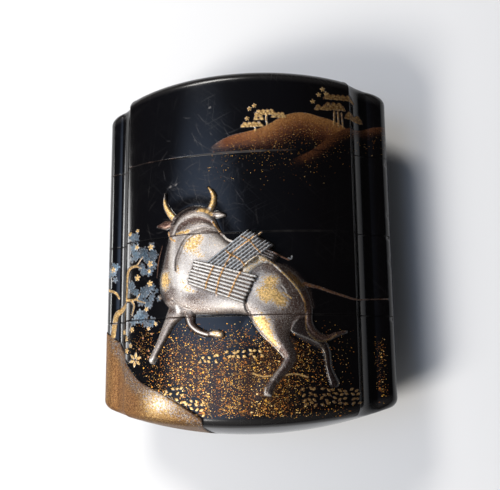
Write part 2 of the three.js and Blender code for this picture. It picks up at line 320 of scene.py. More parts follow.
def smooth_curve(points):
    """A smooth curve through points: each stretch is a Catmull-Rom curve of the third degree."""
    points = np.asarray(points, float)
    padded = np.concatenate([2 * points[:1] - points[1:2], points, 2 * points[-1:] - points[-2:-1]])
    before, start, end, after = padded[:-3], padded[1:-2], padded[2:-1], padded[3:]
    share = (np.arange(CURVE_STEPS) / CURVE_STEPS)[None, :, None]
    before, start, end, after = (each[:, None, :] for each in (before, start, end, after))
    curve = 0.5 * (
        2 * start
        + (end - before) * share
        + (2 * before - 5 * start + 4 * end - after) * share**2
        + (3 * start - before - 3 * end + after) * share**3
    )
    return np.concatenate([curve.reshape(-1, 2), points[-1:]])


def turned(points, turn, centre=(0, 0)):
    """Points turned by an angle in degrees and then moved to a centre."""
    angle = np.radians(turn)
    matrix = np.array([[np.cos(angle), np.sin(angle)], [-np.sin(angle), np.cos(angle)]])
    return np.asarray(points, float) @ matrix + centre


class Picture:
    """The relief and the powders at an array of places on the front, in millimetres."""

    def __init__(self, x, y):
        self.place = np.stack([x, y], axis=1)
        self.height = np.zeros(len(x))
        self.layers = {name: np.zeros(len(x)) for name in LAYERS}

    def near(self, points, reach):
        """Indices of the places within a box round some points, widened by a reach."""
        low = np.min(points, axis=0) - reach
        high = np.max(points, axis=0) + reach
        return np.nonzero(np.all((self.place > low) & (self.place < high), axis=1))[0]

    def to_curve(self, where, curve):
        """Distance of places from a line of stretches, and the share of the line passed there."""
        start = curve[:-1]
        stretch = curve[1:] - start
        offset = self.place[where][:, None, :] - start
        part = clipped((offset * stretch).sum(2) / (stretch**2).sum(1))
        distance = np.linalg.norm(offset - part[:, :, None] * stretch, axis=2)
        nearest = distance.argmin(axis=1)
        rows = np.arange(len(where))
        return distance[rows, nearest], (nearest + part[rows, nearest]) / len(stretch)

    def stroke(self, points, halves, soft=BRUSH_SOFT, smooth=True):
        """Where a brush stroke lies: its places, its cover, and its roundness.

        The cover is one inside the half width, which runs evenly through the given values, and
        falls to nothing over a soft edge. The roundness is that of a half circle.
        """
        curve = smooth_curve(points) if smooth else np.asarray(points, float)
        halves = np.atleast_1d(halves)
        where = self.near(curve, halves.max() + soft)
        distance, share = self.to_curve(where, curve)
        half = np.interp(share, np.linspace(0, 1, len(halves)), halves)
        cover = soft_edge(half - distance, 2 * soft)
        roundness = np.sqrt(clipped(1 - (distance / half) ** 2))
        return where, cover, roundness

    def area(self, outline, reach, smooth=True):
        """Signed distance from a closed outline, above zero inside, at the places near it."""
        outline = np.asarray(outline, float)
        curve = smooth_curve(np.concatenate([outline, outline[:1]])) if smooth else outline
        if not smooth:
            curve = np.concatenate([curve, curve[:1]])
        where = self.near(curve, reach + 0.01)
        distance, _ = self.to_curve(where, curve)
        x, y = self.place[where].T
        (x0, y0), (x1, y1) = curve[:-1].T[:, :, None], curve[1:].T[:, :, None]
        crosses = (y0 > y) != (y1 > y)
        rise = np.where(y1 == y0, 1, y1 - y0)
        inside = (crosses & (x < x0 + (y - y0) * (x1 - x0) / rise)).sum(axis=0) % 2 == 1
        return where, np.where(inside, distance, -distance)

    def oval(self, centre, half, turn=0.0):
        """Places in and round an oval, and how far out they are as a share of its size."""
        where = self.near(np.array([centre]), max(half))
        local = turned(self.place[where] - centre, -turn)
        return where, np.hypot(local[:, 0] / half[0], local[:, 1] / half[1])

    def lay(self, where, mask, **powders):
        """Lays powders over what is there: each layer moves to its new value by the mask."""
        for name, value in powders.items():
            layer = self.layers[name]
            layer[where] += (value - layer[where]) * mask

    def paint(self, points, halves, rise=0.0, soft=BRUSH_SOFT, smooth=True, **powders):
        """A brush stroke of powders, which may stand up a little from what is under it."""
        where, cover, roundness = self.stroke(points, halves, soft, smooth)
        self.lay(where, cover, **powders)
        self.height[where] += rise * roundness

    def raise_to(self, where, height):
        """Lifts the relief to a height where it is lower."""
        self.height[where] = np.maximum(self.height[where], height)

    def strengthen(self, name, value):
        """Brings a layer up to a value where it is lower."""
        self.layers[name] = np.maximum(self.layers[name], value)


# The picture in millimetres from the middle of the face. The ox walks away to the left.
OX_BODY = (
    (-13.1, 3.5), (-13.3, 2), (-13.6, 0.5), (-14.2, -2), (-14.8, -4.5), (-15.3, -7), (-15.1, -9.5),
    (-14, -11.8), (-12.5, -13), (-11, -13.8), (-9.5, -14.1), (-4, -14.3), (1, -14.3), (3.3, -14.7),
    (4.2, -15.9), (6, -18.5), (8.5, -21), (10, -22.8), (9.9, -23.6), (8.8, -25.2), (7.2, -27.2),
    (6.5, -28.6), (6.3, -29.9), (7.7, -30.2), (8.1, -28.9), (9.3, -27.3), (11.3, -25.1),
    (12.5, -23), (11.9, -20.7), (11.3, -18.6), (12.6, -16), (14.8, -14.8), (15.7, -13.5),
    (15.3, -11), (14, -8.3), (12, -6), (9, -4.2), (7.3, -3.5), (4, -2.5), (0.5, -0.6),
    (-1.8, 1.5), (-2.3, 2.8), (-3.4, 5.3), (-4.2, 6.6), (-5.8, 7.6), (-7.5, 7.9), (-9.2, 7.7),
    (-11, 6.9), (-12.4, 5.5),
)

# Painted light and painted shade on the hide, darkest on its right side: middle, half sizes, turn in
# degrees and tone
BODY_LIGHT_AND_SHADE = (
    ((-2.5, -1.4), (4.2, 2.4), -35, 0.7),
    ((-7.5, -2.6), (2.8, 3.2), -20, 0.7),
    ((-10, -7.5), (1.9, 3.2), 10, 1.0),
    ((-7.5, -11), (2.6, 1.6), 0, 0.14),
    ((0.2, -12.6), (4.2, 1.3), -5, 0.8),
    ((-12.6, -9.5), (1.5, 3), 0, 0.12),
    ((5, -9), (2, 3.4), 0, 0.68),
    ((4.6, -5.4), (1.8, 1.5), 0, 0.85),
    ((6, -13.2), (2.2, 2.2), 0, 0.36),
    ((9.6, -17), (2, 3.5), 15, 0.1),
    ((10.8, -7.2), (4, 2.8), -40, 0.02),
    ((12.8, -12), (2.6, 3.8), 0, 0.02),
    ((10, -24.5), (3, 4.5), 0, 0.02),
)

# The powders that silver and gold cover up
BARE = {"leaf": 0, "rust": 0, "flakes": 0, "dust": 0}


def paint_limb(picture, points, halves, rise, tone=0.55, gold=0.1, rust=0, strength=1):
    """A limb with a round back, drawn darker towards its edges as painted shade."""
    where, cover, roundness = picture.stroke(points, halves)
    picture.raise_to(where, min(rise, max(halves)) * roundness)
    powders = {**BARE, "gold": gold, "rust": rust}
    picture.lay(where, cover, cover=strength, tone=tone * (0.35 + 0.65 * roundness), **powders)


def paint_patch(picture, outline, soft, **powders):
    """A patch of powder with a soft edge, which the grain of the powder breaks up."""
    where, inside = picture.area(outline, reach=soft)
    picture.lay(where, soft_edge(inside, 2 * soft), **powders)


def paint_far_legs(picture):
    """The forelegs and the far hind leg, each with a painted highlight or a golden line along its
    edge.
    """
    foreleg = ((-10.8, -12.5), (-13, -15.5), (-15, -19.4), (-17, -22.9))
    paint_limb(picture, foreleg, (2.2, 1.2, 0.85, 0.7), 0.9, tone=0.3)
    hoof = ((-17.6, -23.3), (-16.7, -23.1), (-16, -22.8))
    picture.paint(hoof, (0.5, 0.55), tone=0.85, gold=0.2)
    raised_leg = ((-8.6, -13), (-8.2, -16.2), (-5.8, -17.9), (-3.2, -18.1))
    paint_limb(picture, raised_leg, (1.3, 0.8, 0.6, 0.55), 0.8, tone=0.05, strength=0.7)
    # Painted highlight along the raised leg's left edge
    raised_edge = ((-9.1, -14.4), (-8.5, -16.1), (-7, -17.4), (-4.8, -18.3))
    picture.paint(raised_edge, 0.14, 0.05, tone=0.95, gold=0.2)
    raised_hoof = ((-3.7, -18), (-2.9, -18.1), (-2.1, -18.3))
    paint_limb(picture, raised_hoof, (0.6, 0.75, 0.6), 0.8, tone=0.9, gold=0.5)
    # Painted shade: the far hind leg is drawn dark, with thinned powder
    hind_leg = ((12.6, -15), (14, -17.6), (16.4, -19.6), (18, -21.5), (18.5, -25), (19.4, -27.8))
    paint_limb(picture, hind_leg, (3, 1.9, 1.2, 0.75, 0.6, 0.9), 0.7, tone=0, strength=0.34)
    # Painted highlight along the edge between the near thigh and the far hind leg
    hind_edge = (
        (14, -14.2), (12.6, -16), (11.7, -17.4), (11.9, -18.1), (13.2, -18.6), (15, -19.4),
        (16.8, -20.3),
    )
    picture.paint(hind_edge, 0.12, 0.06, tone=0.8, gold=0.1)
    shank_line = ((17, -20.5), (17.8, -22), (18, -25), (18.4, -27))
    picture.paint(shank_line, 0.13, 0.05, tone=0.6, gold=0.8)


def paint_tail(picture):
    """The tail: a round cord of hair that falls down the rump and swings out to the right."""
    tail = (
        (14.2, -10.6), (15, -13.4), (15, -16.2), (16, -18.2), (18, -19.2), (20, -18.5), (21.8, -18),
    )
    halves = (0.5, 0.75, 0.7, 0.7, 0.6, 0.5, 0.3)
    # Painted shade: the tail is drawn dark, with thinned powder
    paint_limb(picture, tail, halves, 0.75, tone=0.05, gold=0.2, rust=0.4, strength=0.45)
    golden_hair = (
        (14.4, -12.3), (14.5, -15), (14.5, -17.3), (15.3, -18.8), (16.8, -19.8), (18.5, -19.6),
        (20, -18.6),
    )
    picture.paint(golden_hair, 0.13, 0.05, tone=0.7, gold=0.9)


def paint_head(picture):
    """The horns and the ears, and a thin red-brown line beside the neck."""
    left_horn = ((-11.7, 5.2), (-12.9, 6.5), (-13.9, 8), (-14.35, 9.5), (-14.25, 11.1))
    paint_limb(picture, left_horn, (0.75, 0.72, 0.55, 0.4, 0.22), 0.8, tone=0.95, gold=0.75)
    right_horn = ((-4.7, 6.2), (-3.8, 7.9), (-3.5, 9.2), (-3.8, 10.3), (-4.6, 11.5))
    paint_limb(picture, right_horn, (0.7, 0.68, 0.6, 0.45, 0.2), 0.8, tone=0.95, gold=0.75)
    # A thin red-brown line beside the neck
    rope = ((-14.9, 0.3), (-15.8, -3), (-16.1, -6.3))
    picture.paint(rope, (0.1, 0.16, 0.1), cover=0.7, tone=0.35, rust=1)
    left_ear = ((-12.9, 4.6), (-14.2, 4.5), (-15.9, 4.4))
    paint_limb(picture, left_ear, (0.7, 0.95, 0.25), 0.7, tone=0.03, gold=0.1, rust=0.5)
    dark_tip = ((-14.4, 10.2), (-14.3, 11))
    picture.paint(dark_tip, 0.25, 0, 0.3, tone=0, gold=0)
    # Painted highlight along the lower edge of the left ear
    ear_highlight = ((-12.9, 4), (-13.9, 3.8), (-14.7, 3.9))
    picture.paint(ear_highlight, (0.42, 0.2), 0.05, 0.2, tone=0.5, gold=0)
    right_ear = ((-3.9, 5.9), (-2.5, 5.7), (-1.1, 5.5))
    paint_limb(picture, right_ear, (0.5, 0.75, 0.2), 0.7, tone=0.3)
    # Painted highlight along the lower edge of the right ear
    ear_highlight = ((-3.8, 5.6), (-2.6, 5.2), (-1.5, 5.4))
    picture.paint(ear_highlight, (0.25, 0.38, 0.15), 0.08, tone=0.75, gold=0)


# The folds lie on the raised neck, so they are seen shifted against the flat face
NECK_OFFSET = (0.3, -0.3)
# Top of the head, where the powder is thinned and drawn dark as painted shade
NECK_DOME = (
    (-12.6, 4.2), (-11.6, 6), (-10, 7.3), (-8, 7.9), (-6.4, 7.6), (-6.6, 6.6), (-8.5, 6.5),
    (-10.4, 5.7), (-11.6, 4.2),
)

# Strokes in the order they are laid: points, half widths, rise, tone, gold and soft edge
# The light strokes on the neck are painted highlights on the crests of its folds, the dark ones
# painted shade in the folds.
NECK_FOLDS = (
    (((-12.6, 3.2), (-11.9, 5), (-10.6, 6.4), (-8.9, 7.2), (-7.2, 7.3), (-5.4, 6.9), (-4.1, 5.7)),
     0.8, 0, 0.06, 0.1, 0.35),
    (((-6.9, 7.2), (-5.6, 6.9), (-4.4, 6.2)), 0.5, 0, 0.55, 0.95, 0.3),
    (((-12.4, 2.6), (-11.5, 4.3), (-10, 5.65), (-8, 6.15), (-6, 6.05), (-4.6, 5.4), (-3.6, 4.3)),
     (0.35, 0.4, 0.42, 0.4, 0.25), 0.12, 0.48, 0, 0.3),
    (((-11.7, 2.5), (-10.8, 3.9), (-9, 4.9), (-7, 5.15), (-5.1, 4.7), (-3.9, 3.9)),
     (0.3, 0.5, 0.6, 0.5, 0.25), -0.25, 0.0, 0.1, 0.25),
    (((-10.2, 3.4), (-8.5, 4.2), (-6.5, 4.5)), 0.4, 0, 0.15, 0.15, 0.3),
    (((-9.6, 2.7), (-8, 3.5), (-6, 3.85), (-4.2, 3.6), (-3, 2.9)),
     (0.25, 0.38, 0.38, 0.2), 0.12, 0.45, 0, 0.25),
    (((-11.6, 2.5), (-10.3, 2.7), (-9, 2.9)), 0.35, 0, 0.8, 0.9, 0.2),
    (((-8.8, 2.4), (-7, 2.9), (-4.8, 3.1), (-3, 2.4)), 0.25, -0.06, 0.3, 0.1, 0.25),
)
# Strokes over the hide, laid the same way: painted highlights, painted shade and drawn lines
HIDE_STROKES = (
    # Brown band along the left edge: partly the powder's own brown, partly painted shade
    (((-13.3, 1), (-14, -2), (-14.6, -5), (-14.8, -8), (-14.1, -11), (-12.5, -12.9)),
     0.95, 0, 0, 0.1, 0.6),
    # Painted highlight on the crest at the left of the neck
    (((-11.8, 2), (-12.1, 0), (-12.2, -2.5), (-12, -5.5), (-11.7, -8)),
     (0.3, 0.5, 0.5, 0.2), 0.08, 0.75, 0, 0.7),
    # Painted shade in the shoulder crease
    (((-2.6, 2.3), (-4.5, 2.55), (-6.5, 2.4), (-8.5, 1.5), (-9.7, 0.3), (-10.5, -1.2),
      (-11.2, -3.2), (-11.4, -5.3)),
     (0.25, 0.35, 0.42, 0.42, 0.36, 0.36, 0.15), -0.3, 0, 0, 0.2),
    # Painted shade beside the crease
    (((-10.4, -0.8), (-11, -2.5), (-11.1, -4.8)), 0.3, 0, 0.4, 0, 0.4),
    (((-11, -4.4), (-10.9, -5.6)), 0.2, 0, 0.8, 0.9, 0.3),
    (((-9.9, -7.6), (-8.9, -9.1), (-7.4, -9.6)), (0.5, 0.6, 0.3), 0, 0.9, 0.55, 0.4),
    (((-13.4, -11.6), (-12, -12.4), (-9.5, -13.5), (-5, -13.8), (0, -13.8), (3.2, -14.2)),
     0.5, 0, 0.24, 0.15, 0.4),
    (((-12, -11), (-11.2, -11.9), (-9.8, -12.8), (-8.4, -13.2)), 0.3, -0.12, 0.3, 0, 0.35),
    (((-11.3, -12.4), (-10.9, -13.3)), (0.25, 0.45), 0.05, 1, 0, 0.2),
    (((3, -11.8), (3.1, -13.2), (3.9, -14.8)), (0.15, 0.36, 0.2), -0.25, 0.22, 0, 0.15),
    (((4.2, -15.8), (6, -18.5), (8.4, -21), (10, -22.7)), 0.14, 0.05, 0.6, 0.1, 0.1),
    (((10.5, -23.1), (9.4, -24.9), (7.5, -27.2)), 0.14, 0.05, 0.4, 0, 0.12),
    (((6.5, -28.6), (6.5, -29.8), (7.4, -30)), 0.2, 0.05, 0.75, 0.1, 0.12),
    (((10.1, -9.1), (10.7, -9.8), (11, -10.5)), 0.1, 0.02, 0.85, 0, 0.08),
    (((10.4, -10.5), (11.2, -11), (11.9, -11.6)), 0.12, 0.02, 0.8, 0.9, 0.08),
)

# Patches of gold powder on the hide: outline and share of gold
GOLD_PATCHES = (
    (((-9.9, -0.4), (-9.3, 0.8), (-8.2, 1.7), (-6.6, 2), (-5.5, 1.2), (-6, -0.2), (-6.3, -1.5),
      (-5.3, -2.9), (-6.4, -3), (-7.8, -2.1), (-9.2, -1.4)), 0.68),
    (((-15.2, -5.6), (-13.4, -5.5), (-12.9, -7), (-13.3, -8.6), (-14, -8.8), (-15.2, -7.8)), 0.9),
    (((6.3, -7.9), (7.6, -7.1), (9.1, -7.4), (9.6, -8.4), (8.7, -9.3), (6.9, -9.1)), 0.85),
    (((5.4, -9.6), (7.3, -9.3), (9.3, -10), (10.9, -11.6), (10.8, -12.8), (9.6, -13.2),
      (8.4, -12.2), (6.8, -12.3), (5.8, -11.2)), 1),
    (((4.7, -14.9), (6.4, -14.6), (7.7, -16.2), (8.1, -18.2), (8.9, -20.2), (8.9, -20.9),
      (7.6, -19.8), (6, -17.6), (4.8, -16.1)), 0.95),
)

# Painted shade: the powder is thinned so the black lacquer darkens the shaded parts: points, half
# width and cover
PAINTED_SHADE_STROKES = (
    (((-13.6, 1), (-14.4, -2), (-15.1, -5), (-15.2, -8), (-14.4, -11)), 0.7, 0.3),
    (((10.5, -5.6), (12.6, -7.4), (14.4, -10), (15.1, -13)), 1.1, 0.45),
    (((11.4, -20), (11.3, -23), (8.8, -26.5), (7.2, -29)), 0.8, 0.5),
)

# The body's rounded edge, and its haunch and shoulder: middle, half sizes and rise
BODY_EDGE = 3.6
BODY_RISE = 1.2
HAUNCH = ((8.6, -10.6), (6.6, 6.9), 0.35)
SHOULDER = ((-8.2, -5), (6, 8), 0.3)

# How high and how far the lacquer is built up round the ox
GROUND_SWELL = 0.17
SWELL_WIDTH = 1.6
SWELL_REACH = 3.5


def paint_strokes(picture, strokes, offset=(0, 0)):
    """A list of strokes, each moved by an offset."""
    for points, halves, rise, tone, gold, soft in strokes:
        picture.paint(np.array(points) + offset, halves, rise, soft, tone=tone, gold=gold)


def paint_hide(picture):
    """The painted light and painted brown shade of the body, and its gold patches."""
    paint_strokes(picture, HIDE_STROKES)
    for outline, gold in GOLD_PATCHES:
        paint_patch(picture, outline, 0.8, tone=0.92, gold=gold)
    # Painted shade on the left edge, the rump and the back of the leg
    for points, half, cover in PAINTED_SHADE_STROKES:
        picture.paint(points, half, 0, 0.7, cover=cover)
    # A gold patch on the rump, drawn dark with the painted shade on that side
    rump = ((11, -6.2), (12.6, -7), (14.2, -9), (13.6, -9.4), (12.2, -8))
    paint_patch(picture, rump, 0.5, tone=0.15, gold=0.9)
    haunch = ((4.2, -4.6), (6.8, -4.4), (7.6, -6), (6, -7.4), (4.9, -7))
    paint_patch(picture, haunch, 0.8, leaf=0.2)


def swelling(place, middle, half, rise):
    """A low cone over an oval: its height falls evenly from the middle to the rim."""
    return rise * clipped(1 - np.hypot(*((place - middle) / half).T))


def paint_body(picture):
    """The ox's body: its height rises from its outline like a quarter circle.

    Outside the outline the lacquer swells up to it as a bell curve of the distance does.
    """
    where, inside = picture.area(OX_BODY, reach=SWELL_REACH)
    outside = np.minimum(inside, 0) / SWELL_WIDTH
    picture.raise_to(where, GROUND_SWELL * np.exp(-(outside**2)))
    place = picture.place[where]
    cover = soft_edge(inside, EDGE_SOFT)
    rise = BODY_RISE * np.sqrt(1 - (1 - clipped(inside / BODY_EDGE)) ** 2)
    rise = rise + swelling(place, *HAUNCH) + swelling(place, *SHOULDER)
    picture.raise_to(where, rise * cover)
    # Painted shade: the hide is drawn darker towards its outline
    tone = 0.05 + 0.24 * even_ramp(inside, 0, 2.4)
    for centre, half, turn, value in BODY_LIGHT_AND_SHADE:
        local = turned(place - centre, -turn) / half
        tone += (value - tone) * np.exp(-(local**2).sum(axis=1)) * even_ramp(inside, 0, 0.8)
    # Painted shade: the powder is thinner towards the outline, so the lacquer darkens it
    solid = 0.62 + 0.38 * even_ramp(inside, 0, 1.6)
    picture.lay(where, cover, cover=solid, tone=tone, gold=0.12, **BARE)
    paint_hide(picture)
    # Painted shade over the top of the head
    paint_patch(picture, NECK_DOME, 0.4, cover=0.34, tone=0)
    paint_strokes(picture, NECK_FOLDS, NECK_OFFSET)


# Ties and ropes of the load: points and half width
TIES = (
    (((-1.5, -6.3), (-0.6, -4.4), (0.5, -2.7), (2, -1.3), (4, 0), (5.2, 1), (6.3, 1.9)), 0.15),
    (((2.4, 0.8), (3.9, 0), (5.2, -1.5), (6.2, -2.6)), 0.14),
    (((-0.6, -2), (0.3, -2.8), (1.2, -3.2), (2.3, -4), (3, -5)), 0.15),
    (((-3.1, -5), (-3.8, -6.3), (-4.5, -8), (-4.8, -9.3)), 0.16),
    (((-1.5, -6.3), (-2, -7.6), (-2.5, -9.6), (-2.7, -10.6)), 0.16),
    (((2.5, -6.1), (1.5, -7.5), (0.7, -9.3), (-0.1, -11)), 0.16),
    (((-13.4, 2.9), (-13.2, 2), (-12.4, 1.2), (-11.7, 0.8)), 0.18),
    (((-3.6, 4.2), (-2.9, 3.2), (-2.2, 2.2), (-1.8, 1.5)), 0.17),
)


def paint_sticks(picture, first, last, count, base, tone, leaf, half=0.24):
    """A bundle of sticks side by side, from the first stick's two ends to the last one's."""
    first, last = np.array(first, float), np.array(last, float)
    jitter = np.random.default_rng(count).uniform(-0.35, 0.35, (count, 2, 1))
    along = (first[1] - first[0]) / np.linalg.norm(first[1] - first[0])
    outline = np.array([first[0], first[1], last[1], last[0]])
    where, inside = picture.area(outline, reach=0.6, smooth=False)
    picture.raise_to(where, base * even_ramp(inside, -0.5, 0.1))
    # Painted shadow: a dark sheet between and under the sticks
    shadow = soft_edge(inside + 0.25, EDGE_SOFT)
    picture.lay(where, shadow, cover=1, tone=0.02, gold=0, **BARE)
    for index in range(count):
        ends = first + (last - first) * index / (count - 1) + jitter[index] * along
        where, cover, roundness = picture.stroke(ends, half, 0.07, smooth=False)
        picture.raise_to(where, (base + 0.3 * roundness) * (roundness > 0))
        # Painted shade: each stick is drawn darker towards its edges
        light = tone * (0.55 + 0.45 * roundness)
        picture.lay(where, cover, cover=1, tone=light, gold=0, leaf=leaf)


def paint_bundles(picture):
    """Three bundles of brushwood on the back, with their ties, the strap and the goad."""
    sticks = ((6.2, -1.5), (9.3, -2.9)), ((5.8, -3.2), (8.3, -4.3))
    paint_sticks(picture, *sticks, 4, 1.4, tone=0.3, leaf=0.4, half=0.18)
    goad = ((7.4, -1.3), (9.4, -2.9), (11.4, -3.9))
    picture.paint(goad, 0.14, 0.1, cover=1, tone=0.3, gold=0.2, rust=0.9)
    hook = ((11.3, -3.5), (11.8, -3.7), (12, -3.1))
    picture.paint(hook, 0.14, cover=1, tone=0.5, leaf=0.6, gold=0)
    sticks = ((-4.7, -4.2), (3.6, 1.8)), ((0.2, -7), (8.2, -1.1))
    paint_sticks(picture, *sticks, 9, 1.55, tone=0.62, leaf=0.5)
    # Painted light and shade: the upper bundle is drawn lighter at the left and darker towards the
    # right
    where = picture.near(((2, -6), (9, 2)), 0)
    picture.layers["tone"][where] *= 1.15 - 0.6 * even_ramp(picture.place[where, 0], 1, 7)
    shadow = ((4.6, -7.2), (5.3, -6), (6.5, -5.4), (8, -5.6))
    picture.paint(shadow, 0.6, 0, 0.6, tone=0.12, gold=0)
    strap = ((3, -7), (3.7, -5.4), (4.9, -4.4), (6.2, -3.9), (7.2, -4.1))
    picture.paint(strap, (1, 1.15, 1, 0.6), 0.1, cover=1, tone=0.03, gold=0, leaf=0)
    light_band = (0.85, 1.0, 0.85, 0.45)
    picture.paint(strap, light_band, 0.2, cover=1, tone=1, gold=0.55, leaf=0.3)
    rump_strap = (
        (6.8, -3.7), (8.5, -4.7), (10, -6.2), (12, -8.3), (13.5, -10.4), (14.3, -12.2),
    )
    picture.paint(rump_strap, 0.14, 0.1, tone=0.9, gold=0.95, cover=1)
    picture.paint(((7, -4.2), (8.6, -5), (10, -6.3)), 0.1, tone=0.9, gold=0, leaf=0)
    sticks = ((-7.2, -3.7), (5, -7.2)), ((-8.5, -8), (2.9, -12.2))
    paint_sticks(picture, *sticks, 8, 1.8, tone=0.7, leaf=0.25, half=0.25)
    for points, half in TIES:
        picture.paint(points, half, 0.12, 0.1, cover=1, tone=0.75, gold=0.9, rust=0.35, leaf=0)
    knot = ((-1.9, 1.8), (-0.8, 0.6), (0.3, 0.1))
    picture.paint(knot, 0.22, 0.1, cover=1, tone=0.85, gold=0.2)


def paint_ox(picture):
    """The ox from its far legs to its load, with the rope that runs off to the right."""
    paint_far_legs(picture)
    paint_head(picture)
    paint_body(picture)
    paint_tail(picture)
    rope = (
        (14.3, -8.7), (17, -9.4), (19.5, -10.3), (22, -11.1), (23.8, -11.6), (26, -11.3),
        (30, -11.2),
    )
    picture.paint(
        rope, (0.36, 0.27, 0.22, 0.14, 0.1), 0.22,
        cover=0.85, tone=0.12, gold=0.5, leaf=0, rust=0.5, flakes=0, dust=0,
    )
    paint_bundles(picture)


PETALS = 5


def paint_leaf(picture, centre, size, turn, tone, gold, leaf, rise):
    """A leaf or a petalled spray: its edge goes out and in as the cosine of the angle does."""
    where, reach = picture.oval(centre, (size, size))
    offset = picture.place[where] - centre
    angle = np.arctan2(offset[:, 1], offset[:, 0]) - np.radians(turn)
    edge = 0.3 + 0.7 * np.abs(np.cos(angle * PETALS / 2)) ** 0.8
    cover = clipped((edge - reach) * size / 0.12)
    light = tone * (0.7 + 0.3 * reach)
    picture.lay(where, cover, cover=1, tone=light, gold=gold, leaf=leaf, flakes=0)
    picture.height[where] += rise * cover


# Clumps of leaves: middle, half sizes, number of leaves and tone
LEAF_CLUSTERS = (
    ((-22, 2.8), (1.2, 1.4), 5, 0.4),
    ((-21.9, -0.5), (1.5, 1.5), 10, 0.42),
    ((-18.4, -0.9), (2.1, 1.9), 18, 0.15),
    ((-18.6, -3.8), (1.8, 1.5), 14, 0.25),
    ((-21.8, -8.1), (1.5, 1.7), 9, 0.32),
    ((-18, -10), (2.5, 2.4), 24, 0.27),
    ((-20.5, -13.4), (1.4, 1.1), 6, 0.7),
    ((-21.4, -15), (1, 1), 4, 0.5),
    ((-18.4, -14.6), (1.7, 1.4), 11, 0.32),
    ((-28.9, -4), (1.3, 2.4), 12, 0.5),
)
GOLD_SPRIGS = (
    (-23.2, 3.8), (-21.2, 4.2), (-17.7, 0.3), (-21.3, 0.7), (-17.8, -3.2), (-18, -4.7), (-21, -5.8),
    (-17.8, -7.3), (-15.2, -10.3), (-18.6, -12.5), (-16.3, -15.6), (-18, -16.5), (-22.3, -16.5),
    (-29, -2.9), (-25.5, -16.7), (-23.8, -18.3), (-24.5, -19.5), (-22.6, -19.8), (-23.6, -20.8),
)

# Trunk, branches and twigs: points and half widths
WOOD = (
    (((-28.7, -17.5), (-28.3, -14.8), (-27.8, -12.7), (-26.6, -12), (-25, -10.9), (-24.1, -10)),
     (0.65, 0.6, 0.5)),
    (((-24.1, -10.4), (-24, -7.5), (-23.8, -5), (-23.3, -3.8), (-22.5, -3.4), (-21.3, -3.3)),
     (0.42, 0.36, 0.28)),
    (((-21.4, -3.3), (-20.9, -2.8), (-20.2, -2), (-19.7, -1.6)), (0.2, 0.12)),
    (((-21.4, -3.3), (-20.7, -3.6), (-20, -3.9)), (0.2, 0.12)),
    (((-24, -10.2), (-22.5, -10.4), (-21.2, -10.2), (-20.4, -9.3)), (0.35, 0.25, 0.14)),
    (((-21.4, -10.3), (-20.2, -10.8), (-18.9, -11.2)), (0.22, 0.12)),
    (((-22.5, -10.5), (-21.8, -11.5), (-22, -12.6), (-22.3, -13.6)), (0.25, 0.12)),
    (((-30.3, -7.3), (-29, -7.7), (-28, -8.3), (-27.4, -9.2)), (0.3, 0.25)),
)


def paint_flower(picture, centre, petals):
    """A flower whose petals are short gold strokes, turned evenly round its centre."""
    for petal in range(petals):
        ends = turned([(0.35, 0), (1.5, 0)], petal * 360 / petals + 20, centre)
        picture.paint(
            ends, (0.12, 0.36, 0.1), 0.1, smooth=False, cover=1, tone=0.9, gold=0.9, leaf=0
        )


def paint_tree(picture):
    """A gold trunk that climbs over the left cove, with blue-grey leaves, gold sprigs and a flower."""
    rng = np.random.default_rng(3)
    for centre, half, count, tone in LEAF_CLUSTERS:
        for index in range(count):
            angle, reach = rng.uniform(0, 2 * np.pi), np.sqrt(rng.uniform(0, 1))
            place = np.array(centre) + reach * np.array(half) * (np.cos(angle), np.sin(angle))
            paint_leaf(
                picture, place, rng.uniform(0.65, 1), rng.uniform(0, 360),
                tone * rng.uniform(0.7, 1.15), 0, rng.uniform(0.75, 1), 0.05,
            )
    for points, halves in WOOD:
        picture.paint(points, halves, 0.15, cover=1, tone=0.55, gold=0.85, leaf=0, rust=0)
    for centre in GOLD_SPRIGS:
        size = rng.uniform(0.5, 0.8)
        paint_leaf(picture, centre, size, rng.uniform(0, 360), 0.95, 0.95, 0, 0.1)
    paint_flower(picture, (-21.3, -22.7), 6)


BANK_EDGE = (
    (-27.2, -18.6), (-25, -21.5), (-23, -24.2), (-20.5, -26.7), (-18, -28.1), (-15.5, -29.2),
    (-13, -30.5), (-10.5, -31.8), (-8, -33.2), (-6, -34.4),
)


def paint_bank(picture):
    """The bank at the lower left: a speckled silver-grey edge, with gold below it and a painted
    highlight.
    """
    outline = np.concatenate([smooth_curve(BANK_EDGE), [(-6, -38), (-31.5, -38), (-31.5, -16)]])
    where, inside = picture.area(outline, reach=0.4, smooth=False)
    x, y = picture.place[where].T
    distance, _ = picture.to_curve(where, smooth_curve(BANK_EDGE))
    depth = distance * np.sign(inside)
    picture.raise_to(where, 0.4 * even_ramp(depth, -0.25, 0.25))
    cover = soft_edge(depth, EDGE_SOFT)
    band = even_ramp(depth, 0.1, 0.4)
    golden = even_ramp(depth, 1.9, 3.3)
    # Painted highlight: a bright patch on the bank, lighter and less golden
    bright = np.exp(-(((x + 15.5) / 3.4) ** 2 + ((y + 31.6) / 2.2) ** 2))
    tone = band * (0.11 - 0.03 * golden) + 0.72 * bright
    gold = 0.5 + 0.45 * golden * (1 - bright)
    picture.lay(where, cover, cover=0.95, tone=tone, gold=gold, **BARE)
    picture.lay(where, cover * golden * even_ramp(x, -18, -21), rust=0.5, tone=0.21)
    on_runner = cover * even_ramp(x, -27.8, -29.3) * even_ramp(y, -20, -24)
    picture.lay(where, on_runner, tone=0.21, gold=1, rust=0.35)


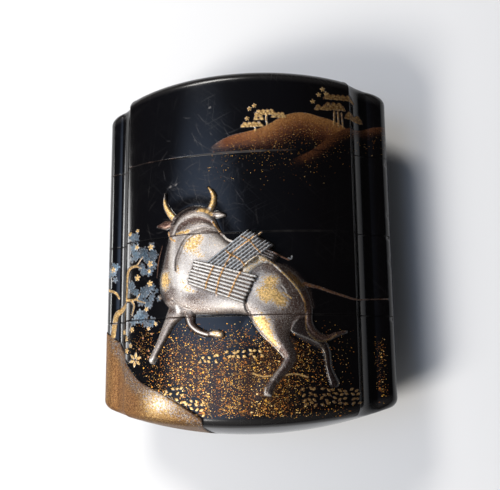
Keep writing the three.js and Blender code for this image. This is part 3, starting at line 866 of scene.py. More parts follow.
# Rows of small leaves on the ground: middle, half sizes and tone
LEAF_ROWS = (
    ((2.4, -21.7), (3.4, 0.7), 0.95),
    ((-4.5, -22.9), (2.2, 0.4), 0.85),
    ((-11.6, -29), (2.2, 0.6), 0.8),
    ((-9, -32), (2.8, 1.5), 0.9),
    ((18.5, -30.2), (5.2, 1.4), 0.22),
)
RED_FLAKES = ((-17.9, -21), (-18, -22.2), (-19.4, -18.4), (-20.3, -20.6), (-17.2, -17.6))
TWIGS = (((4, -25.8), (6, -26.4), (7.5, -26.3)), ((9, -26.5), (12, -26), (14.5, -26.6)))


def paint_leaf_rows(picture, rng, centre, half, tone):
    """Small gold leaves in rows about a centre, each turned a little up or down."""
    where, reach = picture.oval(centre, np.array(half) + 0.5)
    clear = clipped((1.1 - reach) / 0.3)
    for name in ("flakes", "cover"):
        picture.layers[name][where] *= 1 - 0.75 * clear
    for y in np.arange(-half[1], half[1] + 0.1, 0.85):
        for x in np.arange(-half[0], half[0], 1.1) + rng.uniform(0, 0.8):
            place = np.array(centre) + (x, y) + rng.uniform(-0.34, 0.34, 2)
            turn = rng.choice((-28, 28)) + rng.uniform(-22, 22)
            ends = turned([(-0.36, 0), (0.36, 0)], turn, place)
            picture.paint(
                ends, (0.08, 0.27, 0.08), 0.07, 0.07, smooth=False,
                cover=1, tone=tone * rng.uniform(0.85, 1.25), gold=0.9, rust=0, flakes=0,
            )


def paint_ground(picture):
    """Density of the flakes strewn under the ox, and the larger leaves and twigs among them."""
    x, y = picture.place.T
    rise = even_ramp(y, -15.5, -21.5)
    sides = even_ramp(x, -20, -11) * even_ramp(x, 23.5, 7.5)
    foot = even_ramp(y, -34.3, -33.5)
    on_runner = even_ramp(x, 26.8, 27.3) * even_ramp(x, 29.5, 28.5) * even_ramp(y, -18, -22)
    on_runner = 0.6 * on_runner * even_ramp(y, -32, -30)
    ground = rise * sides * foot
    picture.lay(EVERYWHERE, ground, cover=0.36, tone=0.02, gold=0.9, rust=0.25)
    picture.layers["flakes"] = np.maximum(ground, on_runner)
    beside_foreleg = np.exp(-(((x + 19.5) / 2.2) ** 2) - ((y + 20) / 4) ** 2)
    picture.strengthen("dust", 0.4 * beside_foreleg)
    for centre in RED_FLAKES:
        where, reach = picture.oval(centre, (0.26, 0.26))
        picture.lay(where, clipped((1 - reach) / 0.3), cover=1, tone=0.95, rust=1)
    rng = np.random.default_rng(8)
    for centre, half, tone in LEAF_ROWS:
        paint_leaf_rows(picture, rng, centre, half, tone)
    for twig in TWIGS:
        picture.paint(twig, 0.12, 0.05, cover=1, tone=0.85, gold=0.9, rust=0, flakes=0)


# Crests of the near and the far hill, from left to right
HILL = (
    (-6, 18.4), (-4.5, 20), (-3, 21), (0, 22.2), (3, 22.8), (5.5, 23.3), (8, 24.3), (10, 25.5),
    (12, 26.3), (14, 26.6), (16, 26.4), (18, 25.8), (20, 25.3), (22, 24.4), (24, 23),
)
FAR_HILL = (
    (10, 15.4), (11, 16), (13, 17), (16, 18.5), (18, 20), (20, 21.7), (22, 23), (23.5, 23.8),
    (26, 24.5), (27.5, 25), (31.5, 25.8),
)
HILL_DEPTH = 12


def paint_hill(picture, crest, reach, strength):
    """A hill whose powder is gold along its crest and thins out to dust below it.

    The outline is the crest, closed far below; how deep a place lies is its distance from the
    crest, and the powder falls off with the square of the depth.
    """
    left, right = crest[0], crest[-1]
    curve = smooth_curve(crest)
    foot = [(right[0], right[1] - HILL_DEPTH), (left[0], left[1] - HILL_DEPTH)]
    where, inside = picture.area(np.concatenate([curve, foot]), reach=0.5, smooth=False)
    distance, _ = picture.to_curve(where, curve)
    depth = distance * np.sign(inside)
    x = picture.place[where, 0]
    reach = np.interp(x, (-5, 10), reach)
    edge = soft_edge(depth, EDGE_SOFT) * (inside > -0.3)
    fade = np.exp(-((np.maximum(depth, 0) / reach) ** 2))
    start = even_ramp(x, left[0], left[0] + 5)
    golden = np.exp(-((depth / 2.3) ** 2)) * even_ramp(x, -1, 8) * strength
    share = 0.4 + 0.6 * strength
    picture.lay(
        where,
        edge * start,
        cover=0.9 * fade * share,
        tone=0.04 + 0.1 * fade**2 + 0.32 * golden,
        gold=0.4 + 0.6 * golden,
        rust=1 - 0.35 * golden,
        dust=0.34 * fade**0.5 * share * even_ramp(depth, 0, 3),
    )


def paint_hills(picture):
    """Two hills, the further one darker, and dust strewn below them."""
    paint_hill(picture, HILL, (1.8, 5), 1.0)
    paint_hill(picture, FAR_HILL, (2.2, 2.6), 0.2)
    x, y = picture.place.T
    sprinkled = 0.1 * clipped(1 - np.abs(x - 6) / 10) * even_ramp(y, 12, 18) * (y < 20)
    picture.strengthen("dust", sprinkled)


# Size of the scallops in a pine's pads, how far apart their columns and rows are, the height
# of pad for each row, and the share of gold in the powder
SCALLOP_HALF = (0.58, 0.68)
SCALLOP_STEP = 0.95
SCALLOP_ROW = 0.5
PAD_ROW = 0.6
PINE_GOLD = 0.85


def paint_pine(picture, pads, trunks, tone):
    """A pine: pads of needles, each some rows of small scallops, over thin trunks."""
    for points, half in trunks:
        picture.paint(points, half, 0.1, cover=1, tone=tone, gold=PINE_GOLD, rust=0)
    for (left, low), (right, high) in pads:
        rows = max(2, round((high - low) / PAD_ROW))
        for row in reversed(range(rows)):
            half = (right - left) / 2 * np.sqrt(1 - (row / rows) ** 1.6)
            count = max(2, round(2 * half / SCALLOP_STEP))
            for x in np.linspace(-half + 0.5, half - 0.5, count) + (left + right) / 2:
                y = low + SCALLOP_ROW * row
                where, reach = picture.oval((x, y), SCALLOP_HALF)
                above = picture.place[where][:, 1] > y - 0.1
                cover = clipped((1 - reach) / 0.15) * above
                needles = tone * (1.1 - 1.1 * reach**2)
                picture.lay(where, cover, cover=1, tone=needles, gold=PINE_GOLD, rust=0, dust=0)
                picture.height[where] += 0.04 * cover


# Two pines on the hills, each with pads (lower left and upper right corner), trunks and a tone
PINES = (
    (
        (
            ((5, 26.3), (9.4, 27.6)), ((8.4, 25.6), (11.4, 26.7)), ((4.8, 25.3), (6.9, 26.1)),
            ((2.1, 23.8), (6.8, 25)),
        ),
        ((((7.6, 24.2), (7.4, 25.2), (7.5, 26.2)), 0.2), (((5.2, 23), (5.1, 23.8)), 0.18)),
        0.75,
    ),
    (
        (
            ((18.9, 29.7), (24.8, 31.1)), ((18.6, 27.4), (23.2, 29.2)), ((17.1, 27.3), (20, 28.2)),
            ((23, 25.8), (26.4, 27.4)),
        ),
        (
            (((20.9, 24.3), (21, 27)), 0.2),
            (((21.8, 24), (21.7, 27)), 0.18),
            (((22.6, 23.8), (22.4, 26.8)), 0.16),
        ),
        0.26,
    ),
)
PINE_SPRIGS = (
    (18.8, 31.7), (18, 30.5), (19.5, 30.8), (16.8, 29), (3.5, 25.6), (4, 27.7), (5, 28.3),
)


def paint_pines(picture):
    """The two pines, and the starry sprigs beside them."""
    for pads, trunks, tone in PINES:
        paint_pine(picture, pads, trunks, tone)
    for centre in PINE_SPRIGS:
        paint_leaf(picture, centre, 0.6, 25, 0.6, 1, 0, 0.05)


# Wear: seams with their strength and where it ends at the right, scratches gathered where the
# highlight falls, and small knocks
WORN_SEAMS = ((LID_SEAM, 0.8, 14), (UPPER_SEAM, 0.16, 24), (LOWER_SEAM, 0.12, 24))
SCRATCH_COUNT = 230
SCRATCH_MIDDLE = (-6, 9)
SCRATCH_SPREAD = (6, 9)
KNOCKS = ((-13.2, 12.6), (-11.9, 12.9), (-4.4, 28.7))


def paint_wear(picture):
    """Rubbed rims beside the seams and the ends, and fine scratches in the middle of the face, drawn
    lighter where the highlight falls: partly real scratches, partly painted glints.
    """
    x, y = picture.place.T
    rng = np.random.default_rng(21)
    rubbed = 0.5 + 0.5 * np.sin(1.7 * x + 1.1) * np.sin(0.63 * x + 0.4)
    for seam, strength, right in WORN_SEAMS:
        near = clipped(1 - np.abs(y - seam) / 0.2) * (0.35 + 0.65 * rubbed)
        share = strength * near * even_ramp(x, right, right - 12)
        rusty = even_ramp(x, -2, -12)
        picture.strengthen("wear", share * (1 - rusty))
        picture.lay(EVERYWHERE, share * rusty, cover=1, tone=0.85, rust=1)
    middle = end_height(x, face_height(x)) - END_ROUND / 2
    at_end = clipped(1.3 - np.abs(np.abs(y) - middle) / (0.7 * END_ROUND))
    picture.strengthen("wear", 0.06 * at_end)
    for _ in range(SCRATCH_COUNT):
        start = rng.normal(SCRATCH_MIDDLE, SCRATCH_SPREAD)
        turn, length = rng.uniform(0, 180), rng.uniform(0.6, 4)
        ends = turned([(0, 0), (length / 2, rng.uniform(-0.15, 0.15)), (length, 0)], turn, start)
        where, cover, _ = picture.stroke(ends, (0.02, 0.06, 0.02), 0.09)
        picture.lay(where, cover * rng.uniform(0.02, 0.13), wear=1)
    for centre in KNOCKS:
        where, reach = picture.oval(centre, (0.3, 0.12), 35)
        picture.lay(where, clipped(1.4 - reach), wear=1)


def paint_seams(picture):
    """The powders are drawn dark in a line along each seam, and lose their gold there."""
    y = picture.place[:, 1]
    for seam in (LID_SEAM, UPPER_SEAM, LOWER_SEAM):
        near = clipped(1.4 - np.abs(y - seam) / 0.16)
        picture.layers["tone"] *= 1 - 0.8 * near
        picture.layers["gold"] *= 1 - near


def paint_picture(picture):
    """The whole picture, from what lies furthest back to what lies in front."""
    paint_wear(picture)
    paint_hills(picture)
    paint_pines(picture)
    paint_ground(picture)
    paint_tree(picture)
    paint_bank(picture)
    paint_ox(picture)
    paint_seams(picture)


def new_mesh(name, points, faces, slot):
    """A mesh in metres from points in millimetres and lists of corners, in one of the lacquers."""
    mesh = bpy.data.meshes.new(name)
    placed = (points + [0, 0, REST_HEIGHT]) * MM
    mesh.from_pydata(placed.tolist(), [], faces)
    mesh.materials.append(outside_lacquer())
    mesh.materials.append(inside_lacquer())
    mesh.polygons.foreach_set("material_index", [slot] * len(mesh.polygons))
    mesh.validate()
    mesh.update()
    return mesh


def band_faces(rings, count):
    """Quads between neighbouring rings of the same number of points."""
    lower = np.arange((rings - 1) * count).reshape(rings - 1, count)
    upper = lower + count
    after = np.roll(lower, -1, axis=1)
    quads = np.stack([lower, upper, np.roll(upper, -1, axis=1), after], axis=-1)
    return quads.reshape(-1, 4).tolist()


def closed_skin(name, rings, slot):
    """A closed mesh over rings that run along +Y, each from +X round to +Z, with level ends."""
    rings = np.asarray(rings)
    count = rings.shape[1]
    faces = band_faces(len(rings), count)
    faces.append(list(range(count)))
    faces.append(list(range((len(rings) - 1) * count, len(rings) * count))[::-1])
    return new_mesh(name, rings.reshape(-1, 3), faces, slot)


def ring(section, height):
    """A section placed at heights along Y."""
    level = np.broadcast_to(height, len(section))
    return np.stack([section[:, 0], level, section[:, 1]], axis=1)


def prism(name, section, low, high):
    """A section carried straight along Y from one height to another."""
    return closed_skin(name, [ring(section, low), ring(section, high)], INSIDE)


def end_rings(drawn_in, radius, steps, end, inset):
    """Rings over the rounded edge of an end and its dome; end is 1 for the lid end, else -1.

    The round goes a quarter circle inwards while it climbs, and the dome's rings are the drawn in
    section shrunk evenly towards the axis.
    """
    rings = []
    for turn in np.linspace(0, np.pi / 2, steps + 1):
        section = drawn_in(radius * (1 - np.cos(turn)))
        fall = radius * (1 - np.sin(turn)) + inset
        rings.append(ring(section, end * (end_height(*section.T) - fall)))
    for share in np.linspace(1, 0, DOME_STEPS + 1)[1:-1]:
        section = drawn_in(radius) * share
        rings.append(ring(section, end * (end_height(*section.T) - inset)))
    return rings


def wall_rows(low, high, pitch):
    """Evenly spaced rings of heights between two curves of heights."""
    count = int(np.ceil(np.max(high - low) / pitch))
    return low + (high - low) * np.linspace(0, 1, count + 1)[:, None]


def rim_rings(section, level, radius, direction):
    """Rings over the small round of a rim, a quarter circle from the wall to its level end."""
    normal = outward(section)
    rings = []
    for turn in np.linspace(0, np.pi / 2, RIM_STEPS + 1)[1:]:
        drawn_in = section - normal * radius * (1 - np.cos(turn))
        rings.append(ring(drawn_in, level - direction * radius * (1 - np.sin(turn))))
    return rings


# Small chips in the right runner: height, place in depth, reach and depth
CHIPS = (
    (6.5, 0.8, 0.5, 0.3),
    (1.6, 1.2, 0.4, 0.25),
    (-3.4, 0.6, 0.55, 0.35),
    (17.3, 1.0, 0.4, 0.2),
    (-15.2, 1.2, 0.4, 0.2),
)


def chipped(rings, normal):
    """Rings with small round chips pressed in at the right edge: each is a bell curve deep."""
    at_edge = rings[:, :, 0] > HALF_FACE
    for height, place, reach, depth in CHIPS:
        gap = np.hypot(rings[:, :, 1] - height, rings[:, :, 2] - place) / reach
        pressed = depth * np.exp(-(gap**2)) * at_edge
        rings[:, :, 0] -= normal[:, 0] * pressed
        rings[:, :, 2] -= normal[:, 1] * pressed
    return rings


def outer_skin(name, low, high, sizes):
    """The outer skin of a box between two heights, or domed at an end where it has no height."""
    section = outer_section()
    normal = outward(section)
    radius = sizes.rim_round / MM
    ends = end_height(*section.T) - END_ROUND

    def drawn_in(distance):
        return section - normal * distance

    lowest = -ends if low is None else np.full(len(section), low + radius)
    highest = ends if high is None else np.full(len(section), high - radius)
    rings = [ring(section, row) for row in wall_rows(lowest, highest, sizes.grid_pitch / MM)]
    if low is None:
        rings = end_rings(drawn_in, END_ROUND, END_ROUND_STEPS, -1, 0)[:0:-1] + rings
    else:
        rings = rim_rings(section, low, radius, -1)[::-1] + rings
    if high is None:
        rings = rings + end_rings(drawn_in, END_ROUND, END_ROUND_STEPS, 1, 0)[1:]
    else:
        rings = rings + rim_rings(section, high, radius, 1)
    rings = chipped(np.array(rings), normal)
    front = rings[:, :, 2] > 0
    picture = Picture(rings[front][:, 0], rings[front][:, 1])
    paint_picture(picture)
    rings[front, 2] += picture.height * sizes.relief
    return closed_skin(name, rings, OUTSIDE)


def pocket_drawn_in(distance):
    """The section of a hollow, drawn in all round by a distance."""
    return pocket_section(HOLLOW_CORNER - distance)


def closed_hollow(name, mouth, end):
    """The hollow of a box with a domed end, from its mouth to inside the end's wall."""
    rings = end_rings(pocket_drawn_in, HOLLOW_ROUND, CORNER_STEPS, end, END_WALL)
    mouth_ring = ring(pocket_section(HOLLOW_CORNER), mouth)
    ordered = [mouth_ring] + rings if end > 0 else rings[::-1] + [mouth_ring]
    return closed_skin(name, ordered, INSIDE)


def channel_section(x):
    """A circle of the cord channel's size round its axis."""
    turn = np.linspace(0, 2 * np.pi, CHANNEL_SIDES, endpoint=False)
    return np.stack([np.cos(turn), np.sin(turn)], axis=1) * CHANNEL_DIAMETER / 2 + [x, 0]


def in_scene(data):
    """An object in the scene for a mesh, a camera or a light, with its name."""
    made = bpy.data.objects.new(data.name, data)
    bpy.context.collection.objects.link(made)
    return made


def shape(piece, steps):
    """Joins meshes to a piece or cuts them out of it, one after the other."""
    for operation, mesh in steps:
        tool = in_scene(mesh)
        modifier = piece.modifiers.new(operation, "BOOLEAN")
        modifier.solver = "MANIFOLD"
        modifier.operation = operation
        modifier.object = tool
        graph = bpy.context.evaluated_depsgraph_get()
        made = bpy.data.meshes.new_from_object(piece.evaluated_get(graph))
        piece.modifiers.clear()
        old = piece.data
        piece.data = made
        bpy.data.meshes.remove(old)
        bpy.data.objects.remove(tool)
        bpy.data.meshes.remove(mesh)
    piece.data.name = piece.name


def channels():
    """Cuts for the two cord channels, which run through the case from end to end."""
    reach = SIDE_TOP + END_RISE + END_WALL
    return [
        ("DIFFERENCE", prism("channel", channel_section(side * CHANNEL_X), -reach, reach))
        for side in (-1, 1)
    ]


def socket_above(rim):
    """A cut for the socket that takes the riser of the box below."""
    socket = prism("socket", pocket_section(SOCKET_CORNER), rim - FIT_CLEARANCE, rim + SOCKET_DEPTH)
    return "DIFFERENCE", socket


def riser_above(rim):
    """The riser that stands over a rim; its foot lies inside the box's wall."""
    riser = prism("riser", pocket_section(RISER_CORNER), rim - RISER_LENGTH, rim + RISER_LENGTH)
    return "UNION", riser


def dress(node, low, high, steps, sizes):
    """Makes the dressed piece that stands for a node of the solids."""
    piece = in_scene(outer_skin("dressed_" + node, low, high, sizes))
    shape(piece, steps)
    finish_piece(piece)
    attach(piece, "root")
    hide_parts(node)


def back_dust(y):
    """Density of the thin dust on the plain back, which rises evenly towards the bottom end."""
    return 0.12 * even_ramp(y, -5, -30)


def finish_piece(piece):
    """Gives a piece its two lacquers, its smooth faces and the layers of the picture."""
    mesh = piece.data
    co = np.empty(len(mesh.vertices) * 3)
    mesh.vertices.foreach_get("co", co)
    co = co.reshape(-1, 3) / MM - [0, 0, REST_HEIGHT]
    front = co[:, 2] > 0
    picture = Picture(co[front, 0], co[front, 1])
    paint_picture(picture)
    for name in LAYERS:
        values = np.zeros(len(co))
        values[front] = picture.layers[name]
        if name == "dust":
            values[~front] = back_dust(co[~front, 1])
        layer = mesh.attributes.new(name, "FLOAT", "POINT")
        layer.data.foreach_set("value", values)
    mesh.shade_smooth()
    mesh.set_sharp_from_angle(angle=np.radians(SHARP_ANGLE))


class Nodes:
    """Short calls that add nodes to a tree and link them."""

    def __init__(self, tree):
        self.tree = tree

    def add(self, kind, inputs=None, **settings):
        """A new node with its settings, and with values or links for its inputs by name."""
        node = self.tree.nodes.new(kind)
        for name, value in settings.items():
            setattr(node, name, value)
        for name, value in (inputs or {}).items():
            self.feed(node.inputs[name], value)
        return node

    def feed(self, socket, value):
        """Links an output to a socket, or sets the socket's own value."""
        if isinstance(value, bpy.types.NodeSocket):
            self.tree.links.new(value, socket)
        else:
            socket.default_value = value

    def math(self, operation, *values):
        """The result of a sum or product of numbers and outputs."""
        node = self.tree.nodes.new("ShaderNodeMath")
        node.operation = operation
        for socket, value in zip(node.inputs, values):
            self.feed(socket, value)
        return node.outputs[0]

    def ramp(self, value, low, high):
        """A smooth step from nothing at low to one at high."""
        node = self.add("ShaderNodeMapRange", interpolation_type="SMOOTHSTEP")
        self.feed(node.inputs["Value"], value)
        self.feed(node.inputs["From Min"], low)
        self.feed(node.inputs["From Max"], high)
        return node.outputs["Result"]

    def mix(self, share, under, over, blend="MIX"):
        """A colour between two, by a share, or another blend of them."""
        node = self.add("ShaderNodeMix", data_type="RGBA", blend_type=blend)
        self.feed(node.inputs[0], share)
        for socket, value in zip((node.inputs[6], node.inputs[7]), (under, over)):
            linked = isinstance(value, bpy.types.NodeSocket)
            self.feed(socket, value if linked else (*value, 1))
        return node.outputs[2]

    def group(self, tree, inputs):
        """A node that stands for a node group."""
        return self.add("ShaderNodeGroup", inputs, node_tree=tree)

    def layer(self, name):
        """The value of one layer of the picture."""
        return self.add("ShaderNodeAttribute", attribute_name=name).outputs["Fac"]


def new_group(name, inputs, outputs):
    """An empty shader node group with named number inputs and its outputs."""
    tree = bpy.data.node_groups.new(name, "ShaderNodeTree")
    for label, default in inputs.items():
        socket = tree.interface.new_socket(label, in_out="INPUT", socket_type="NodeSocketFloat")
        socket.default_value = default
    for label, kind in outputs.items():
        tree.interface.new_socket(label, in_out="OUTPUT", socket_type=kind)
    return tree, Nodes(tree)


def powder_grain():
    """Group: the broken grain of a sprinkled powder, which shifts a value up and down."""
    if "powder_grain" in bpy.data.node_groups:
        return bpy.data.node_groups["powder_grain"]
    defaults = {"Value": 0.5, "Break Up": 0.5, "Size": 0.2, "Softness": 0.15}
    tree, nodes = new_group("powder_grain", defaults, {"Share": "NodeSocketFloat"})
    given = nodes.add("NodeGroupInput").outputs
    place = nodes.add("ShaderNodeTexCoord").outputs["Object"]
    scale = nodes.math("DIVIDE", 1 / MM, given["Size"])
    noise = nodes.add(
        "ShaderNodeTexNoise", {"Vector": place, "Scale": scale, "Detail": 3.0, "Roughness": 0.6}
    )
    shift = nodes.math("SUBTRACT", noise.outputs["Fac"], 0.5)
    shift = nodes.math("MULTIPLY", shift, given["Break Up"])
    moved = nodes.math("ADD", given["Value"], nodes.math("MULTIPLY", shift, 2.0))
    low = nodes.math("SUBTRACT", 0.5, given["Softness"])
    high = nodes.math("ADD", 0.5, given["Softness"])
    result = nodes.add("NodeGroupOutput")
    nodes.feed(result.inputs["Share"], nodes.ramp(moved, low, high))
    return tree


def strewn_flakes():
    """Group: separate flakes, as many as the density says, each with its own chance number."""
    if "strewn_flakes" in bpy.data.node_groups:
        return bpy.data.node_groups["strewn_flakes"]
    tree, nodes = new_group(
        "strewn_flakes",
        {"Density": 0.5, "Size": 0.4, "Stretch": 1.6, "Seed": 0.0},
        {"Flake": "NodeSocketFloat", "Chance": "NodeSocketFloat"},
    )
    given = nodes.add("NodeGroupInput")
    place = nodes.add("ShaderNodeTexCoord").outputs["Object"]
    scale = nodes.math("DIVIDE", 1 / MM, given.outputs["Size"])
    across = nodes.math("DIVIDE", scale, given.outputs["Stretch"])
    factor = nodes.add("ShaderNodeCombineXYZ", {"X": across, "Y": scale, "Z": scale})
    scaled = nodes.add("ShaderNodeVectorMath", operation="MULTIPLY")
    nodes.feed(scaled.inputs[0], place)
    nodes.feed(scaled.inputs[1], factor.outputs[0])
    moved = nodes.add("ShaderNodeVectorMath", operation="ADD")
    nodes.feed(moved.inputs[0], scaled.outputs[0])
    nodes.feed(moved.inputs[1], given.outputs["Seed"])
    cells = nodes.add("ShaderNodeTexVoronoi", {"Vector": moved.outputs[0], "Scale": 1.0})
    cells.inputs["Randomness"].default_value = 1.0
    chances = nodes.add("ShaderNodeSeparateColor", {"Color": cells.outputs["Color"]})
    reach = nodes.math("MULTIPLY_ADD", chances.outputs["Green"], 0.22, 0.26)
    inside = nodes.ramp(nodes.math("SUBTRACT", reach, cells.outputs["Distance"]), -0.03, 0.05)
    present = nodes.math("LESS_THAN", chances.outputs["Red"], given.outputs["Density"])
    result = nodes.add("NodeGroupOutput")
    nodes.feed(result.inputs["Flake"], nodes.math("MULTIPLY", inside, present))
    nodes.feed(result.inputs["Chance"], chances.outputs["Blue"])
    return tree


# Runs of fine scratches: turn in radians, and how often they repeat across and along, per mm
SCRATCH_RUNS = ((0.42, 7, 0.07), (-0.8, 6, 0.09), (1.45, 6.5, 0.06), (2.4, 8, 0.08))


def fine_scratches():
    """Group: thin straight scratches in four directions, where a patchy noise lets them show."""
    if "fine_scratches" in bpy.data.node_groups:
        return bpy.data.node_groups["fine_scratches"]
    tree, nodes = new_group("fine_scratches", {"Amount": 0.5}, {"Scratch": "NodeSocketFloat"})
    given = nodes.add("NodeGroupInput")
    place = nodes.add("ShaderNodeTexCoord").outputs["Object"]
    total = 0.0
    for turn, across, along in SCRATCH_RUNS:
        mapping = nodes.add("ShaderNodeMapping", {"Vector": place}, vector_type="TEXTURE")
        mapping.inputs["Rotation"].default_value = (0, 0, turn)
        mapping.inputs["Scale"].default_value = (MM / along, MM / across, MM / along)
        inputs = {"Vector": mapping.outputs[0], "Scale": 1.0, "Detail": 1.0}
        noise = nodes.add("ShaderNodeTexNoise", inputs)
        line = nodes.ramp(noise.outputs["Fac"], 0.66, 0.74)
        total = nodes.math("MAXIMUM", line, total)
    patches = nodes.add("ShaderNodeTexNoise", {"Vector": place, "Scale": 0.12 / MM, "Detail": 2.0})
    shown = nodes.ramp(patches.outputs["Fac"], 0.35, 0.65)
    shown = nodes.math("MULTIPLY", shown, given.outputs["Amount"])
    result = nodes.add("NodeGroupOutput")
    nodes.feed(result.inputs["Scratch"], nodes.math("MULTIPLY", total, shown))
    return tree


# Optics of the lacquers and powders, and the height of the powder's grain in millimetres
LACQUER_IOR = 1.38
LACQUER_ROUGHNESS = 0.12
INSIDE_ROUGHNESS = 0.3
FLOOR_ROUGHNESS = 0.6
POWDER_METAL = 0.75
POWDER_ROUGHNESS = 0.5
GRAIN_HEIGHT = 0.04


def flake_colour(nodes, chance, light):
    """The colour of each flake by its chance number: rust, amber, gold or dark gold."""
    finish = bpy.context.scene.inro_finish
    colour = nodes.mix(nodes.ramp(chance, 0.2, 0.5), finish.rust, finish.amber)
    colour = nodes.mix(nodes.ramp(chance, 0.5, 0.6), colour, finish.gold)
    colour = nodes.mix(nodes.ramp(chance, 0.68, 0.72), colour, finish.dark_gold)
    return nodes.mix(light, finish.dark_gold, colour)


def outside_lacquer():
    """Black lacquer with the powders of the picture in it."""
    name = "outside_lacquer"
    if name in bpy.data.materials:
        return bpy.data.materials[name]
    finish = bpy.context.scene.inro_finish
    material = bpy.data.materials.new(name)
    material.use_nodes = True
    nodes = Nodes(material.node_tree)
    shader = material.node_tree.nodes["Principled BSDF"]

    def grained(value, break_up, size, softness):
        inputs = {"Value": value, "Break Up": break_up, "Size": size, "Softness": softness}
        return nodes.group(powder_grain(), inputs).outputs["Share"]

    def flakes_of(density, size, stretch, seed):
        inputs = {"Density": density, "Size": size, "Stretch": stretch, "Seed": seed}
        flakes = nodes.group(strewn_flakes(), inputs)
        return flakes.outputs["Flake"], flakes.outputs["Chance"]

    cover = grained(nodes.layer("cover"), 0.35, 0.14, 0.3)
    grain = grained(0.5, 0.7, 0.2, 0.5)
    tone = nodes.math("MULTIPLY_ADD", nodes.math("SUBTRACT", grain, 0.5), 0.5, nodes.layer("tone"))
    sand, chance = flakes_of(0.6, 0.26, 1.1, 17.0)
    speck = nodes.math("MULTIPLY", sand, nodes.math("SUBTRACT", chance, 0.45))
    tone = nodes.math("MAXIMUM", nodes.math("MULTIPLY_ADD", speck, 0.7, tone), 0.0)
    silver = nodes.mix(tone, finish.shade, finish.silver)
    mottle = nodes.math("MULTIPLY_ADD", grained(0.5, 0.9, 0.4, 0.35), 0.75, 0.35)
    golden = nodes.mix(nodes.math("MULTIPLY", tone, mottle), finish.dark_gold, finish.gold)
    powder = nodes.mix(grained(nodes.layer("gold"), 1.1, 0.36, 0.16), silver, golden)
    powder = nodes.mix(nodes.layer("leaf"), powder, nodes.mix(tone, finish.dark_leaf, finish.leaf))
    powder = nodes.mix(nodes.layer("rust"), powder, nodes.mix(tone, finish.dark_rust, finish.rust))
    scratch = nodes.group(fine_scratches(), {"Amount": 0.6}).outputs["Scratch"]
    ground = nodes.mix(nodes.math("MULTIPLY", scratch, 0.03), finish.lacquer, finish.worn)
    ground = nodes.mix(nodes.layer("wear"), ground, finish.worn)
    colour = nodes.mix(cover, ground, powder)
    metal = nodes.math("MULTIPLY", cover, POWDER_METAL)
    place = nodes.add("ShaderNodeTexCoord").outputs["Object"]
    patches = nodes.add("ShaderNodeTexNoise", {"Vector": place, "Scale": 0.45 / MM, "Detail": 2.0})
    patchy = nodes.math("MULTIPLY_ADD", nodes.ramp(patches.outputs["Fac"], 0.38, 0.62), 0.6, 0.55)
    strewn = nodes.math("MULTIPLY", patchy, nodes.layer("flakes"))
    # Density, size, stretch, seed and light of each kind of flake; the last is the fine dust
    for density, size, stretch, seed, light in (
        (nodes.math("MULTIPLY", strewn, 0.6), 0.17, 1.1, 11.0, 0.85),
        (nodes.math("MULTIPLY", strewn, 0.4), 0.26, 1.2, 5.0, 0.9),
        (nodes.math("MULTIPLY", strewn, 0.2), 0.38, 1.4, 3.0, 1.0),
        (nodes.layer("dust"), 0.17, 1.0, 7.0, 0.6),
    ):
        flake, chance = flakes_of(density, size, stretch, seed)
        colour = nodes.mix(flake, colour, flake_colour(nodes, chance, light))
        metal = nodes.math("MAXIMUM", metal, nodes.math("MULTIPLY", flake, POWDER_METAL))
    shader.inputs["IOR"].default_value = LACQUER_IOR
    nodes.feed(shader.inputs["Base Color"], colour)
    nodes.feed(shader.inputs["Metallic"], metal)
    scratched = nodes.math("MULTIPLY_ADD", scratch, 0.25, LACQUER_ROUGHNESS)
    rough = nodes.math("MULTIPLY_ADD", metal, POWDER_ROUGHNESS, scratched)
    rough = nodes.math("MULTIPLY_ADD", nodes.layer("wear"), 2.0, rough)
    nodes.feed(shader.inputs["Roughness"], nodes.math("MINIMUM", rough, 0.65))
    height = nodes.math("MULTIPLY", grain, cover)
    bump = nodes.add("ShaderNodeBump", {"Height": height, "Strength": 0.4})
    bump.inputs["Distance"].default_value = GRAIN_HEIGHT * MM
    nodes.feed(shader.inputs["Normal"], bump.outputs["Normal"])
    return material


def inside_lacquer():
    """Plain brown lacquer for the insides and the cord channels."""
    colour = bpy.context.scene.inro_finish.inside
    return plain_material("inside_lacquer", colour, INSIDE_ROUGHNESS)


def plain_material(name, colour, roughness):
    """A material of one colour, made once."""
    if name in bpy.data.materials:
        return bpy.data.materials[name]
    material = bpy.data.materials.new(name)
    material.use_nodes = True
    shader = material.node_tree.nodes["Principled BSDF"]
    shader.inputs["Base Color"].default_value = (*colour, 1)
    shader.inputs["Roughness"].default_value = roughness
    return material


# The camera as the photograph was taken, found from the outline of the case: its place over the
# case's centre plane in metres, its axes, and its lens and sensor in millimetres
CAMERA_PLACE = (0.032983, -0.027609, 0.156442)
CAMERA_RIGHT = (0.97941, -0.01082, -0.20159)
CAMERA_UP = (0.04691, 0.98342, 0.17515)
CAMERA_BACK = (0.19635, -0.18100, 0.96368)
CAMERA_LENS = 53.966
SENSOR_WIDTH = 36.0

# The stage, in metres: the half width of the floor, and the lights' places, sizes and tints
FLOOR_HALF = 1.5
KEY_PLACE = (-0.17, 0.315, 0.36)
KEY_SIZE = (0.16, 0.1)
FILL_PLACE = (-0.25, -0.2, 0.33)
FILL_SIZE = (0.14, 0.14)
KEY_TINT = (1.0, 0.97, 0.93)
WHITE = (1.0, 1.0, 1.0)

# Directions of the middles of the room's soft glows
OVERHEAD_MIDDLE = (-0.44, 0.03, 0.9)
OVERHEAD_TINT = (0.52, 0.68, 1.0)
FRONT_MIDDLE = (-0.6, -0.65, 0.45)
WINDOW_MIDDLE = (-0.99, 0.13, -0.06)


